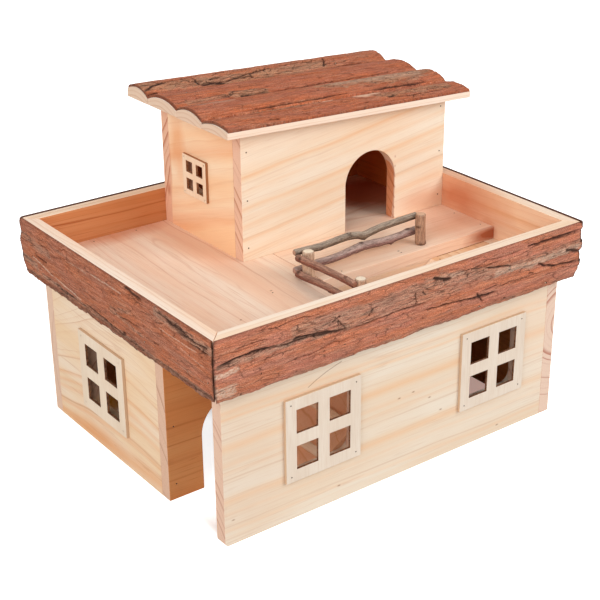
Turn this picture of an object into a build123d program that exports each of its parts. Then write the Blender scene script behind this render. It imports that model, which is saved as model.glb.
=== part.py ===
from build123d import *
import os
from dataclasses import dataclass
from math import atan2, cos, degrees, hypot, pi, radians, sin

# Two-storey wooden hamster house: a ground floor with a side corridor and ramp, a terrace with a half-log rim
# and a twig fence, and an upper cabin under a tilted roof of bark-covered half-log slabs.
# Working frame while modelling: millimetres, X along the front, Y from the front to the back, Z up, zero at the
# outer foot of the front wall's left end. At the end all pieces move so that the origin is the centre of the foot.

# ---------------------------------------------------------------- driving dimensions
BOARD = 11.5                    # thickness of the sawn pine boards
HOUSE_LENGTH = 350.0            # lower storey, along X
HOUSE_DEPTH = 275.7             # lower storey, along Y
WALL_HEIGHT = 141.5             # lower walls, from the ground
CORRIDOR_WIDTH = 69.0           # between the front wall and the partition
PASSAGE_WIDTH = 56.5            # gap between the partition's end and the right wall
FOOT_ROUND = 4.0                # the front wall's left foot is eased

DOOR_WIDTH = 56.5               # both arched doorways are cut with one template
PARTITION_DOOR_LEFT = 33.0      # from the partition's left end to the jamb
PARTITION_DOOR_SPRING = 49.5    # ground to the foot of the arch
CABIN_DOOR_LEFT = 110.0         # from the cabin's left corner to the jamb
CABIN_DOOR_SPRING = 42.3        # terrace floor to the foot of the arch

LANDING_LENGTH = 64.5           # landing board at the head of the ramp, along X
RAMP_BOARD = 6.0                # ramp thickness
RAMP_FOOT = 50.0                # where the ramp's upper face meets the ground
RAMP_CLEARANCE = 0.5            # ramp edge to wall, each side
RUNG_WIDTH = 7.0                # along the slope
RUNG_HEIGHT = 5.0
RUNG_PITCH = 33.0
RUNG_FIRST = 32.0               # foot to the first rung, along the slope
BEARER_HEIGHT = 18.0            # batten that carries the landing's free edge

FRAME_SIDE = 73.5               # plywood window frames, square
FRAME_PLY = 3.0
FRAME_BORDER = 10.4
FRAME_BAR = 11.1                # bars of the glazing cross
CUTOUT_SIDE = 67.0              # rounded square sawn in the wall behind a frame
CUTOUT_RADIUS = 10.0
CABIN_WINDOW_SCALE = 0.5        # the cabin's frame is the same pattern at half size
FRONT_WINDOW_LEFT = (93.0, 72.5)        # frame centres: along the wall, above the ground
WINDOW_FROM_END = 76.0          # the right-hand one, from the front's right end
FRONT_WINDOW_RIGHT = (HOUSE_LENGTH - WINDOW_FROM_END, 74.0)
SIDE_WINDOW = (178.0, 67.7)
CABIN_WINDOW = (219.8, 56.6)            # along Y, above the terrace floor

FLOOR_SEAM = 155.6              # where the two terrace boards meet
SEAM_GAP = 0.4

RIM_HEIGHT = 48.0               # half-log slabs round the terrace
RIM_TOP_ABOVE_FLOOR = 31.2
RIM_WOOD = 10.7                 # wood at the top edge
RIM_BARK = 2.3
RIM_BULGE = 0.8                 # how far the round face swells past its top edge
RIM_FOOT_TAPER = 1.2            # how far it falls back at the lower edge
RIM_WOOD_LIFT = 2.5             # wood stops short of the bark's waney lower edge
WANE = 1.1                      # swing of that edge
MITRE_GAP_WOOD = 0.25
MITRE_GAP_BARK = 0.9

CORNER_POST_RADIUS = 5.2        # peeled twigs
END_POST_RADIUS = 4.65
FRONT_POST_RADIUS = 4.9
POST_HEIGHT = 25.0
END_POST_HEIGHT = 28.4
POST_CHAMFER = 0.8
CORNER_POST = (148.3, 90.6)
FENCE_LENGTH = 122.2            # corner post to end post, centres
FENCE_RETURN = 68.8             # corner post to front post, centres
RAIL_RADIUS = 3.0
THIN_RAIL_RADIUS = 2.9
RAIL_BEND = 22.0
RAIL_TAIL = 8.8                 # a long rail runs past the corner post's centre by this
UPPER_RAIL = 22.4               # centre lines at the corner post, above the terrace floor
LOWER_RAIL = 6.2
UPPER_RETURN = 19.3
LOWER_RETURN = 4.9
RAIL_RISE = 3.0                 # the rails climb towards their far ends

CABIN_LEFT = 124.8              # cabin's left face
CABIN_FRONT = 151.2             # cabin's front face
ROOF_UNDERSIDE = 115.0          # above the terrace floor, at the roof's left end
ROOF_FALL = 2.64                # degrees, falling to the right
ROOF_OVERHANG_LEFT = 19.7
ROOF_OVERHANG_RIGHT = 19.42
ROOF_OVERHANG_FRONT = 11.8
ROOF_OVERHANG_BACK = 22.1
ROOF_BARK = 2.6
SLAB_GAP = 0.4

BRAD = 1.2                      # square wire brads
BRAD_LENGTH = 25.0
SHORT_BRAD = 16.0
RIM_BRAD = 22.0                 # through bark, rim and most of a wall
PIN = 1.0
PIN_LENGTH = 9.0
PIN_INSET = 5.0                 # from the frame's edges
NAIL_CLEARANCE = 0.05
NAIL_SINK = 1.0                 # the hole runs on past the head
RIM_NAIL_DROP = 3.0             # below the walls' tops, where the rim is nailed to a wall
NAIL_INSET = 12.0               # a board's first brad, from its end
NAIL_SPACING = 35.0             # to its second, where it has room for two only

# ---------------------------------------------------------------- derived places
FLOOR_TOP = WALL_HEIGHT + BOARD
INNER_RIGHT = HOUSE_LENGTH - BOARD
INNER_BACK = HOUSE_DEPTH - BOARD
PARTITION_FRONT = BOARD + CORRIDOR_WIDTH
PARTITION_BACK = PARTITION_FRONT + BOARD
PARTITION_END = INNER_RIGHT - PASSAGE_WIDTH
LANDING_LEFT = INNER_RIGHT - LANDING_LENGTH
RIM_TOP = FLOOR_TOP + RIM_TOP_ABOVE_FLOOR
RIM_BOTTOM = RIM_TOP - RIM_HEIGHT - RIM_WOOD_LIFT
ROOF_LEFT = CABIN_LEFT - ROOF_OVERHANG_LEFT
ROOF_FRONT = CABIN_FRONT - ROOF_OVERHANG_FRONT
ROOF_DEPTH = HOUSE_DEPTH + ROOF_OVERHANG_BACK - ROOF_FRONT
ROOF_LENGTH = (HOUSE_LENGTH + ROOF_OVERHANG_RIGHT - ROOF_LEFT) / cos(radians(ROOF_FALL))
BACK_SLAB = ROOF_OVERHANG_BACK + BOARD  # the hindmost slab covers the overhang and the cabin's back board
ROOF_PLANE = Plane(
    origin=(ROOF_LEFT, ROOF_FRONT, FLOOR_TOP + ROOF_UNDERSIDE),
    x_dir=(cos(radians(ROOF_FALL)), 0, -sin(radians(ROOF_FALL))),
    z_dir=(sin(radians(ROOF_FALL)), 0, cos(radians(ROOF_FALL))),
)
FAR = 3 * HOUSE_LENGTH          # longer than anything it has to cut

pieces = {}                     # node name -> list of solids


@dataclass(frozen=True)
class Slab:
    """One half-log roof slab: heights are above the flat underside, bark included."""

    width: float
    front_edge: float
    crown: float
    back_edge: float
    extra_length: float


ROOF_SLABS = (                  # from the back to the front
    Slab(BACK_SLAB, 7.6, 13.6, 9.6, 5.6),
    Slab(0.376 * (ROOF_DEPTH - BACK_SLAB), 7.9, 13.0, 7.6, 5.2),
    Slab(0.308 * (ROOF_DEPTH - BACK_SLAB), 7.6, 12.8, 8.2, 5.8),
    Slab(0.316 * (ROOF_DEPTH - BACK_SLAB), 8.4, 10.6, 6.2, 0.0),
)


@dataclass(frozen=True)
class Window:
    """A plywood frame on a wall: its plane lies on the wall's outer face, with z pointing out."""

    node: str
    wall: str
    plane: Plane
    scale: float


WINDOWS = (
    Window("front_window_left", "front_wall",
           Plane(origin=(FRONT_WINDOW_LEFT[0], 0, FRONT_WINDOW_LEFT[1]), x_dir=(1, 0, 0), z_dir=(0, -1, 0)), 1.0),
    Window("front_window_right", "front_wall",
           Plane(origin=(FRONT_WINDOW_RIGHT[0], 0, FRONT_WINDOW_RIGHT[1]), x_dir=(1, 0, 0), z_dir=(0, -1, 0)), 1.0),
    Window("left_window", "left_wall",
           Plane(origin=(0, SIDE_WINDOW[0], SIDE_WINDOW[1]), x_dir=(0, -1, 0), z_dir=(-1, 0, 0)), 1.0),
    Window("cabin_window", "cabin_left_wall",
           Plane(origin=(CABIN_LEFT, CABIN_WINDOW[0], FLOOR_TOP + CABIN_WINDOW[1]),
                 x_dir=(0, -1, 0), z_dir=(-1, 0, 0)), CABIN_WINDOW_SCALE),
)


# ---------------------------------------------------------------- helpers
def board(x0, x1, y0, y1, z0, z1):
    """A rectangular board between two corners."""
    return Pos(x0, y0, z0) * Box(x1 - x0, y1 - y0, z1 - z0, align=(Align.MIN, Align.MIN, Align.MIN))


def arch_cutter(x_left, y_front, z_sill, spring):
    """Round-headed doorway through a board that stands across Y, open at the sill."""
    radius = DOOR_WIDTH / 2
    middle_y = y_front + BOARD / 2
    jambs = board(x_left, x_left + DOOR_WIDTH, y_front - BOARD, y_front + 2 * BOARD, z_sill - BOARD, z_sill + spring)
    head = Pos(x_left + radius, middle_y, z_sill + spring) * Rot(90, 0, 0) * Cylinder(radius, 3 * BOARD)
    return jambs + head


def side_plane(middle, outward):
    """Section plane of a slab on one side of the house: x points outward, y up, z along the slab."""
    return Plane(origin=middle, x_dir=outward, z_dir=Vector(*outward).cross(Vector(0, 0, 1)))


def brad(head, direction, length=BRAD_LENGTH, size=BRAD):
    """A square brad driven along direction with its head at the given point, and the hole it sits in."""
    at = Plane(origin=head, z_dir=direction)
    hole_length = length + NAIL_CLEARANCE + NAIL_SINK
    wire = at * Pos(0, 0, length / 2) * Box(size, size, length)
    hole_size = size + 2 * NAIL_CLEARANCE
    hole = at * Pos(0, 0, hole_length / 2 - NAIL_SINK) * Box(hole_size, hole_size, hole_length)
    return wire, hole


def fasten(node, hosts, brads):
    """Adds brads to a node of fasteners and drills every host piece that they pass through."""
    holes = [hole for _, hole in brads]
    pieces.setdefault(node, []).extend(wire for wire, _ in brads)
    for host in hosts:
        pieces[host] = [solid - holes for solid in pieces[host]]


# ---------------------------------------------------------------- lower storey
def lower_walls():
    """Front, back, left and right walls and the corridor's partition, butted as they are nailed."""
    front = board(0, INNER_RIGHT, 0, BOARD, 0, WALL_HEIGHT)
    foot = front.edges().filter_by(Axis.Y).sort_by(lambda edge: edge.center().X + edge.center().Z)[0]
    pieces["front_wall"] = [fillet(foot, FOOT_ROUND)]
    pieces["back_wall"] = [board(0, INNER_RIGHT, INNER_BACK, HOUSE_DEPTH, 0, WALL_HEIGHT)]
    pieces["right_wall"] = [board(INNER_RIGHT, HOUSE_LENGTH, 0, HOUSE_DEPTH, 0, WALL_HEIGHT)]
    pieces["left_wall"] = [board(0, BOARD, PARTITION_BACK, INNER_BACK, 0, WALL_HEIGHT)]
    partition = board(0, PARTITION_END, PARTITION_FRONT, PARTITION_BACK, 0, WALL_HEIGHT)
    doorway = arch_cutter(PARTITION_DOOR_LEFT, PARTITION_FRONT, 0, PARTITION_DOOR_SPRING)
    pieces["corridor_partition"] = [partition - doorway]


def ramp():
    """The sloping board in the corridor with its rungs, and the landing at its head on a batten."""
    y0, y1 = BOARD + RAMP_CLEARANCE, PARTITION_FRONT - RAMP_CLEARANCE
    run = LANDING_LEFT - RAMP_FOOT
    slope = atan2(WALL_HEIGHT, run)
    section = Plane.XZ * Polygon(
        (RAMP_FOOT, 0), (LANDING_LEFT, WALL_HEIGHT),
        (LANDING_LEFT, WALL_HEIGHT - RAMP_BOARD / cos(slope)), (RAMP_FOOT + RAMP_BOARD / sin(slope), 0),
        align=None,
    )
    pieces["ramp_board"] = [Pos(0, y0, 0) * extrude(section, amount=y1 - y0, dir=(0, 1, 0))]

    incline = Plane(origin=(RAMP_FOOT, (y0 + y1) / 2, 0), x_dir=(cos(slope), 0, sin(slope)),
                    z_dir=(-sin(slope), 0, cos(slope)))
    count = int((hypot(run, WALL_HEIGHT) - RUNG_FIRST - RUNG_WIDTH) // RUNG_PITCH) + 1
    rung = Box(RUNG_WIDTH, y1 - y0, RUNG_HEIGHT, align=(Align.CENTER, Align.CENTER, Align.MIN))
    top_edges = rung.edges().filter_by(Axis.Y).group_by(Axis.Z)[-1]
    rung = chamfer(top_edges, RUNG_WIDTH / 6)
    pieces["ramp_rungs"] = [incline * Pos(RUNG_FIRST + n * RUNG_PITCH, 0, 0) * rung for n in range(count)]

    underside = WALL_HEIGHT - BOARD
    pieces["landing_board"] = [board(LANDING_LEFT, INNER_RIGHT, BOARD, PARTITION_FRONT, underside, WALL_HEIGHT)]
    pieces["ramp_bearer"] = [
        board(LANDING_LEFT, LANDING_LEFT + BOARD, BOARD, PARTITION_FRONT, underside - BEARER_HEIGHT, underside)
    ]


def terrace_floor():
    """Two boards on top of the walls; the right one leaves the stairwell open."""
    left_edge, right_edge = FLOOR_SEAM - SEAM_GAP / 2, FLOOR_SEAM + SEAM_GAP / 2
    pieces["terrace_floor_left"] = [board(0, left_edge, 0, HOUSE_DEPTH, WALL_HEIGHT, FLOOR_TOP)]
    pieces["terrace_floor_right"] = [
        board(right_edge, HOUSE_LENGTH, PARTITION_FRONT, HOUSE_DEPTH, WALL_HEIGHT, FLOOR_TOP)
    ]


# ---------------------------------------------------------------- half-log rim
RIM_SIDES = {                   # name: middle of the face that it is nailed to, outward direction, length there
    "front": ((HOUSE_LENGTH / 2, 0, 0), (0, -1, 0), HOUSE_LENGTH),
    "back": ((HOUSE_LENGTH / 2, HOUSE_DEPTH, 0), (0, 1, 0), HOUSE_LENGTH),
    "left": ((0, HOUSE_DEPTH / 2, 0), (-1, 0, 0), HOUSE_DEPTH),
    "right": ((HOUSE_LENGTH, HOUSE_DEPTH / 2, 0), (1, 0, 0), HOUSE_DEPTH),
}


def round_face(offset, z_low):
    """The swelling outer face of a rim slab, moved out by offset, from the top edge down to z_low."""
    drop = RIM_TOP - z_low
    depth = RIM_WOOD + offset
    return ThreePointArc(
        (depth, RIM_TOP), (depth + RIM_BULGE, RIM_TOP - 0.45 * drop), (depth - RIM_FOOT_TAPER, z_low)
    )


def rim_wood_section():
    """Sawn half log: flat inner face, flat top edge, round outer face."""
    foot = RIM_BOTTOM + RIM_WOOD_LIFT
    face_line = round_face(0, foot)
    flats = Polyline(face_line @ 1, (0, foot), (0, RIM_TOP), face_line @ 0)
    return make_face([face_line] + list(flats.edges()))


def rim_bark_section():
    """The skin on the round face; it hangs a little below the wood."""
    foot = RIM_BOTTOM + RIM_WOOD_LIFT
    tip = RIM_BOTTOM - 2 * WANE
    inner, outer = round_face(0, foot), round_face(RIM_BARK, foot)
    lip = Polyline(inner @ 1, ((inner @ 1).X, tip), ((outer @ 1).X, tip), outer @ 1)
    top = Line(outer @ 0, inner @ 0)
    return make_face([inner, outer, top] + list(lip.edges()))


def mitre_prism(middle, outward, length, gap):
    """Everything between the two 45 degree planes at a side's corners."""
    plan = Plane(origin=middle, x_dir=Vector(*outward).cross(Vector(0, 0, 1)), z_dir=(0, 0, 1))
    half, reach = length / 2 - gap, 3 * RIM_WOOD
    trapezoid = Polygon((-half, 0), (half, 0), (half + reach, reach), (-half - reach, reach), align=None)
    return extrude(plan * trapezoid, amount=2 * RIM_TOP)


def waney_cutter(middle, outward, length, phase):
    """Everything below the bark's uneven lower edge."""
    upright = Plane(origin=middle, x_dir=Vector(*outward).cross(Vector(0, 0, 1)), z_dir=outward)
    reach = length / 2 + 3 * RIM_WOOD
    stations = [-reach + 2 * reach * n / 14 for n in range(15)]
    up = upright.y_dir.Z
    edge = Spline(*[
        (s, up * (RIM_BOTTOM + WANE * (0.6 * sin(s / 31 + phase) + 0.4 * sin(s / 13 + 2 * phase)))) for s in stations
    ])
    below = Polyline(edge @ 1, (reach, up * RIM_BOTTOM / 2), (-reach, up * RIM_BOTTOM / 2), edge @ 0)
    return extrude(upright * make_face([edge] + list(below.edges())), amount=3 * RIM_WOOD, both=True)


def rim():
    """Four mitred half-log slabs, each with its bark."""
    for order, (side, (middle, outward, length)) in enumerate(RIM_SIDES.items()):
        section = side_plane(middle, outward)
        half = length / 2 + 3 * RIM_WOOD
        wood = extrude(section * rim_wood_section(), amount=half, both=True)
        bark = extrude(section * rim_bark_section(), amount=half, both=True)
        pieces[f"rim_{side}"] = [wood & mitre_prism(middle, outward, length, MITRE_GAP_WOOD)]
        bark = bark & mitre_prism(middle, outward, length, MITRE_GAP_BARK)
        pieces[f"rim_bark_{side}"] = [bark - waney_cutter(middle, outward, length, 1.3 * order)]


# ---------------------------------------------------------------- fence
FENCE_POSTS = {                 # name: centre, radius, height; the posts' backs and left sides are in line for the rails
    "corner": (CORNER_POST, CORNER_POST_RADIUS, POST_HEIGHT),
    "end": ((CORNER_POST[0] + FENCE_LENGTH, CORNER_POST[1] + CORNER_POST_RADIUS - END_POST_RADIUS),
            END_POST_RADIUS, END_POST_HEIGHT),
    "front": ((CORNER_POST[0] - CORNER_POST_RADIUS + FRONT_POST_RADIUS, CORNER_POST[1] - FENCE_RETURN),
              FRONT_POST_RADIUS, POST_HEIGHT),
}


def post(place, radius, height):
    """A peeled twig standing on the terrace, its top edge dulled."""
    twig = Cylinder(radius, height, align=(Align.CENTER, Align.CENTER, Align.MIN))
    twig = chamfer(twig.edges().sort_by(Axis.Z)[-1], POST_CHAMFER)
    return Pos(*place, FLOOR_TOP) * twig


def rail(radius, *points):
    """A twig that runs through the given points with gentle bends."""
    path = FilletPolyline(*points, radius=RAIL_BEND) if len(points) > 2 else Line(*points)
    return sweep(Plane(origin=path @ 0, z_dir=path % 0) * Circle(radius), path=path)


def fence():
    """Three posts; two rails behind them along X, and two beside them along Y that butt against the first two."""
    for name, (place, radius, height) in FENCE_POSTS.items():
        pieces[f"fence_post_{name}"] = [post(place, radius, height)]
    behind = CORNER_POST[1] + CORNER_POST_RADIUS + RAIL_RADIUS
    beside = CORNER_POST[0] - CORNER_POST_RADIUS - THIN_RAIL_RADIUS
    x0, x1 = CORNER_POST[0] - RAIL_TAIL, CORNER_POST[0] + FENCE_LENGTH + END_POST_RADIUS / 2
    run = x1 - x0
    upper, lower = FLOOR_TOP + UPPER_RAIL, FLOOR_TOP + LOWER_RAIL
    pieces["fence_rail_long_upper"] = [rail(
        RAIL_RADIUS, (x0, behind, upper), (x0 + 0.43 * run, behind, upper + 0.1 * RAIL_RISE),
        (x0 + 0.55 * run, behind, upper - 1.3 * RAIL_RISE), (x0 + 0.67 * run, behind, upper - 0.1 * RAIL_RISE),
        (x1, behind, upper + 0.5 * RAIL_RISE),
    )]
    pieces["fence_rail_long_lower"] = [rail(
        RAIL_RADIUS, (x0, behind, lower), (x0 + 0.53 * run, behind, lower + 1.15 * RAIL_RISE),
        (x1, behind, lower + 1.3 * RAIL_RISE),
    )]
    y0, y1 = CORNER_POST[1] - FENCE_RETURN - THIN_RAIL_RADIUS, behind - RAIL_RADIUS - SEAM_GAP / 2
    upper, lower = FLOOR_TOP + UPPER_RETURN, FLOOR_TOP + LOWER_RETURN
    pieces["fence_rail_short_upper"] = [rail(
        THIN_RAIL_RADIUS, (beside, y1, upper), (beside, (y0 + y1) / 2, upper + 0.8 * RAIL_RISE),
        (beside, y0, upper + RAIL_RISE),
    )]
    pieces["fence_rail_short_lower"] = [rail(THIN_RAIL_RADIUS, (beside, y1, lower), (beside, y0, lower + RAIL_RISE))]


# ---------------------------------------------------------------- cabin and roof
def cabin():
    """Four walls, butted so that front and back cover the side walls, their tops sawn to the roof's fall."""
    inner_left, inner_front = CABIN_LEFT + BOARD, CABIN_FRONT + BOARD
    tall = FLOOR_TOP + ROOF_UNDERSIDE + BOARD
    above = ROOF_PLANE * Box(FAR, FAR, FAR, align=(Align.CENTER, Align.CENTER, Align.MIN))
    front = board(CABIN_LEFT, HOUSE_LENGTH, CABIN_FRONT, inner_front, FLOOR_TOP, tall) - above
    doorway = arch_cutter(CABIN_LEFT + CABIN_DOOR_LEFT, CABIN_FRONT, FLOOR_TOP, CABIN_DOOR_SPRING)
    pieces["cabin_front"] = [front - doorway]
    pieces["cabin_back"] = [board(CABIN_LEFT, HOUSE_LENGTH, INNER_BACK, HOUSE_DEPTH, FLOOR_TOP, tall) - above]
    pieces["cabin_left_wall"] = [board(CABIN_LEFT, inner_left, inner_front, INNER_BACK, FLOOR_TOP, tall) - above]
    pieces["cabin_right_wall"] = [board(INNER_RIGHT, HOUSE_LENGTH, inner_front, INNER_BACK, FLOOR_TOP, tall) - above]


def slab_arc(slab, y0, y1, lift):
    """The round upper side of a roof slab's section, lowered or raised by lift."""
    return ThreePointArc(
        (y0, slab.front_edge + lift), ((y0 + y1) / 2, slab.crown + lift), (y1, slab.back_edge + lift)
    )


def roof():
    """Half-log slabs laid side by side along X, flat side down, each with its bark."""
    y_back = ROOF_DEPTH
    for number, slab in enumerate(ROOF_SLABS, 1):
        y0, y1 = y_back - slab.width + SLAB_GAP / 2, y_back - SLAB_GAP / 2
        y_back -= slab.width
        wood_arc, bark_arc = slab_arc(slab, y0, y1, -ROOF_BARK), slab_arc(slab, y0, y1, 0)
        flats = Polyline(wood_arc @ 1, (y1, 0), (y0, 0), wood_arc @ 0)
        wood = make_face([wood_arc] + list(flats.edges()))
        bark = make_face([wood_arc, bark_arc, Line(wood_arc @ 0, bark_arc @ 0), Line(wood_arc @ 1, bark_arc @ 1)])
        length = ROOF_LENGTH + slab.extra_length
        pieces[f"roof_slab_{number}"] = [ROOF_PLANE * extrude(Plane.YZ * wood, amount=length)]
        pieces[f"roof_bark_{number}"] = [ROOF_PLANE * extrude(Plane.YZ * bark, amount=length)]


# ---------------------------------------------------------------- windows
def windows():
    """Plywood frames with four panes each, and the rounded cut-outs in the walls behind them."""
    for window in WINDOWS:
        side = FRAME_SIDE * window.scale
        pane = (FRAME_SIDE - 2 * FRAME_BORDER - FRAME_BAR) / 2 * window.scale
        pitch = pane + FRAME_BAR * window.scale
        frame = Rectangle(side, side) - GridLocations(pitch, pitch, 2, 2) * Rectangle(pane, pane)
        pieces[window.node] = [extrude(window.plane * frame, amount=FRAME_PLY)]
        cut = RectangleRounded(CUTOUT_SIDE * window.scale, CUTOUT_SIDE * window.scale, CUTOUT_RADIUS * window.scale)
        opening = extrude(window.plane * cut, amount=2 * BOARD, both=True)
        pieces[window.wall] = [solid - opening for solid in pieces[window.wall]]
        reach = side / 2 - PIN_INSET * window.scale
        pins = [
            brad(window.plane.from_local_coords((sx * reach, sy * reach, FRAME_PLY)), -window.plane.z_dir,
                 PIN_LENGTH, PIN)
            for sx in (-1, 1) for sy in (-1, 1)
        ]
        fasten("window_pins", (window.node, window.wall), pins)


# ---------------------------------------------------------------- fasteners
def wall_nails():
    """Brads through the covering boards into the end grain of the boards that butt against them."""
    low, high = 0.1 * WALL_HEIGHT, 0.85 * WALL_HEIGHT
    middle = (low + high) / 2
    left, inward_y, back = (-1, 0, 0), (0, 1, 0), (0, -1, 0)
    fasten("wall_nails", ("right_wall", "front_wall"),
           [brad((HOUSE_LENGTH, BOARD / 2, z), left) for z in (low, middle, high)])
    fasten("wall_nails", ("right_wall", "back_wall"),
           [brad((HOUSE_LENGTH, HOUSE_DEPTH - BOARD / 2, z), left) for z in (low, middle, high)])
    fasten("wall_nails", ("back_wall", "left_wall"),
           [brad((BOARD / 2, HOUSE_DEPTH, z), back) for z in (low, middle, high)])
    fasten("wall_nails", ("corridor_partition", "left_wall"),
           [brad((0.6 * BOARD, PARTITION_FRONT, z), inward_y) for z in (low, middle)])


def floor_nails():
    """Brads down through the terrace boards into the tops of the walls and the partition."""
    down, seat = (0, 0, -1), FLOOR_TOP
    wall_middle, back, right = BOARD / 2, HOUSE_DEPTH - BOARD / 2, HOUSE_LENGTH - BOARD / 2
    partition, inset, second = PARTITION_FRONT + BOARD / 2, NAIL_INSET, NAIL_INSET + NAIL_SPACING
    plan = (
        ("terrace_floor_left", "left_wall", [(wall_middle, y) for y in (PARTITION_BACK + inset, INNER_BACK - inset)]),
        ("terrace_floor_left", "front_wall", [(x, wall_middle) for x in (2.5 * inset, 0.8 * FLOOR_SEAM)]),
        ("terrace_floor_left", "back_wall", [(x, back) for x in (second, CABIN_LEFT - NAIL_SPACING)]),
        ("terrace_floor_left", "corridor_partition", [(x, partition) for x in (1.7 * inset, 0.7 * FLOOR_SEAM)]),
        ("terrace_floor_right", "corridor_partition",
         [(x, partition) for x in (FLOOR_SEAM + 2 * inset, 0.7 * HOUSE_LENGTH)]),
        ("terrace_floor_right", "right_wall", [(right, PARTITION_FRONT + y) for y in (inset, second)]),
    )
    for floor, wall, places in plan:
        fasten("floor_nails", (floor, wall), [brad((x, y, seat), down) for x, y in places])


def ramp_nails():
    """Brads that hold the landing to its batten, the front wall and the right wall, and the ramp to the landing."""
    inset = 6.0
    ends = (BOARD + inset, PARTITION_FRONT - inset)
    height = WALL_HEIGHT - BOARD / 2
    fasten("ramp_nails", ("landing_board", "ramp_bearer"),
           [brad((LANDING_LEFT + BOARD / 2, y, WALL_HEIGHT), (0, 0, -1)) for y in ends])
    fasten("ramp_nails", ("right_wall", "landing_board"),
           [brad((HOUSE_LENGTH, y, height), (-1, 0, 0)) for y in ends])
    slope = atan2(WALL_HEIGHT, LANDING_LEFT - RAMP_FOOT)
    depth = RAMP_BOARD / cos(slope) / 2
    start = LANDING_LEFT - depth / (sin(slope) / cos(slope))
    fasten("ramp_nails", ("ramp_board", "landing_board"),
           [brad((start, y, WALL_HEIGHT - depth), (1, 0, 0), SHORT_BRAD) for y in ends])


def rim_nails():
    """Brads through bark and rim into the terrace boards' edges or the walls, and across each mitre."""
    face = RIM_WOOD + RIM_BARK
    for side, (middle, outward, length) in RIM_SIDES.items():
        along = Vector(*outward).cross(Vector(0, 0, 1))
        places = [Vector(*middle) + Vector(*outward) * face + along * (t * length) for t in (-0.42, -0.2, 0.2, 0.42)]
        for place in places:    # beside the stairwell the rim is nailed to the wall, elsewhere to the terrace
            over_stairs = place.X > FLOOR_SEAM and place.Y < PARTITION_FRONT
            backing = (f"{side}_wall",) if over_stairs else ("terrace_floor_left", "terrace_floor_right")
            height = WALL_HEIGHT - RIM_NAIL_DROP if over_stairs else WALL_HEIGHT + BOARD / 2
            fasten("rim_nails", (f"rim_{side}", f"rim_bark_{side}") + backing,
                   [brad((place.X, place.Y, height), Vector(*outward) * -1, RIM_BRAD)])
    for x, direction, side in ((-face, 1, "left"), (HOUSE_LENGTH + face, -1, "right")):
        for y, end in ((-RIM_WOOD / 2, "front"), (HOUSE_DEPTH + RIM_WOOD / 2, "back")):
            hosts = (f"rim_{side}", f"rim_bark_{side}", f"rim_{end}")
            heights = (RIM_TOP - 0.28 * RIM_HEIGHT, RIM_TOP - 0.72 * RIM_HEIGHT)
            fasten("rim_nails", hosts, [brad((x, y, z), (direction, 0, 0), RIM_BRAD) for z in heights])


def cabin_nails():
    """Brads through the cabin's front and back into its side walls, and up through the terrace boards."""
    top = 0.84 * ROOF_UNDERSIDE
    heights = [FLOOR_TOP + z for z in (0.12 * top, 0.56 * top, top)]
    left, right = CABIN_LEFT + BOARD / 2, HOUSE_LENGTH - BOARD / 2
    for x, wall in ((left, "cabin_left_wall"), (right, "cabin_right_wall")):
        fasten("cabin_nails", ("cabin_front", wall), [brad((x, CABIN_FRONT, z), (0, 1, 0)) for z in heights])
        fasten("cabin_nails", ("cabin_back", wall), [brad((x, HOUSE_DEPTH, z), (0, -1, 0)) for z in heights])
    up = (0, 0, 1)
    fasten("cabin_nails", ("terrace_floor_left", "cabin_left_wall"),
           [brad((left, CABIN_FRONT + t * (INNER_BACK - CABIN_FRONT), WALL_HEIGHT), up) for t in (0.3, 0.8)])
    fasten("cabin_nails", ("terrace_floor_right", "cabin_front"),
           [brad((x, CABIN_FRONT + BOARD / 2, WALL_HEIGHT), up)
            for x in (FLOOR_SEAM + 2 * NAIL_INSET, INNER_RIGHT - 2 * NAIL_INSET)])


def roof_nails():
    """Brads through each slab, under its bark, into the wall tops."""
    down = -ROOF_PLANE.z_dir
    y_back = ROOF_DEPTH
    for number, slab in enumerate(ROOF_SLABS, 1):
        middle = y_back - slab.width / 2
        y_back -= slab.width
        inset = 3 * BOARD       # clear of the brads at the cabin's corners
        if number == 1:
            y, hosts = INNER_BACK + BOARD / 2 - ROOF_FRONT, ("cabin_back",)
        elif number == len(ROOF_SLABS):
            y, hosts = CABIN_FRONT + BOARD / 2 - ROOF_FRONT, ("cabin_front",)
        else:
            y, hosts, inset = middle, ("cabin_left_wall", "cabin_right_wall"), BOARD / 2
        share = (y - (middle - slab.width / 2)) / slab.width
        rise = 4 * share * (1 - share)      # 0 at the slab's edges, 1 at its crown
        edge = slab.front_edge + share * (slab.back_edge - slab.front_edge)
        crown_lift = slab.crown - (slab.front_edge + slab.back_edge) / 2
        head = edge + rise * crown_lift
        for x in (CABIN_LEFT + inset, HOUSE_LENGTH - inset):
            along = (x - ROOF_LEFT) / cos(radians(ROOF_FALL))
            nail = brad(ROOF_PLANE.from_local_coords((along, y, head)), down)
            fasten("roof_nails", (f"roof_slab_{number}", f"roof_bark_{number}") + hosts, [nail])


def fence_nails():
    """Brads up through the terrace boards into the posts."""
    for name, ((x, y), _, _) in FENCE_POSTS.items():
        floor = "terrace_floor_left" if x < FLOOR_SEAM else "terrace_floor_right"
        fasten("fence_nails", (floor, f"fence_post_{name}"), [brad((x, y, WALL_HEIGHT), (0, 0, 1))])


# ---------------------------------------------------------------- assembly
def build():
    """Makes every piece and joins them in the order of assembly."""
    lower_walls()
    ramp()
    terrace_floor()
    rim()
    fence()
    cabin()
    roof()
    windows()
    wall_nails()
    floor_nails()
    ramp_nails()
    rim_nails()
    cabin_nails()
    roof_nails()
    fence_nails()


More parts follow.
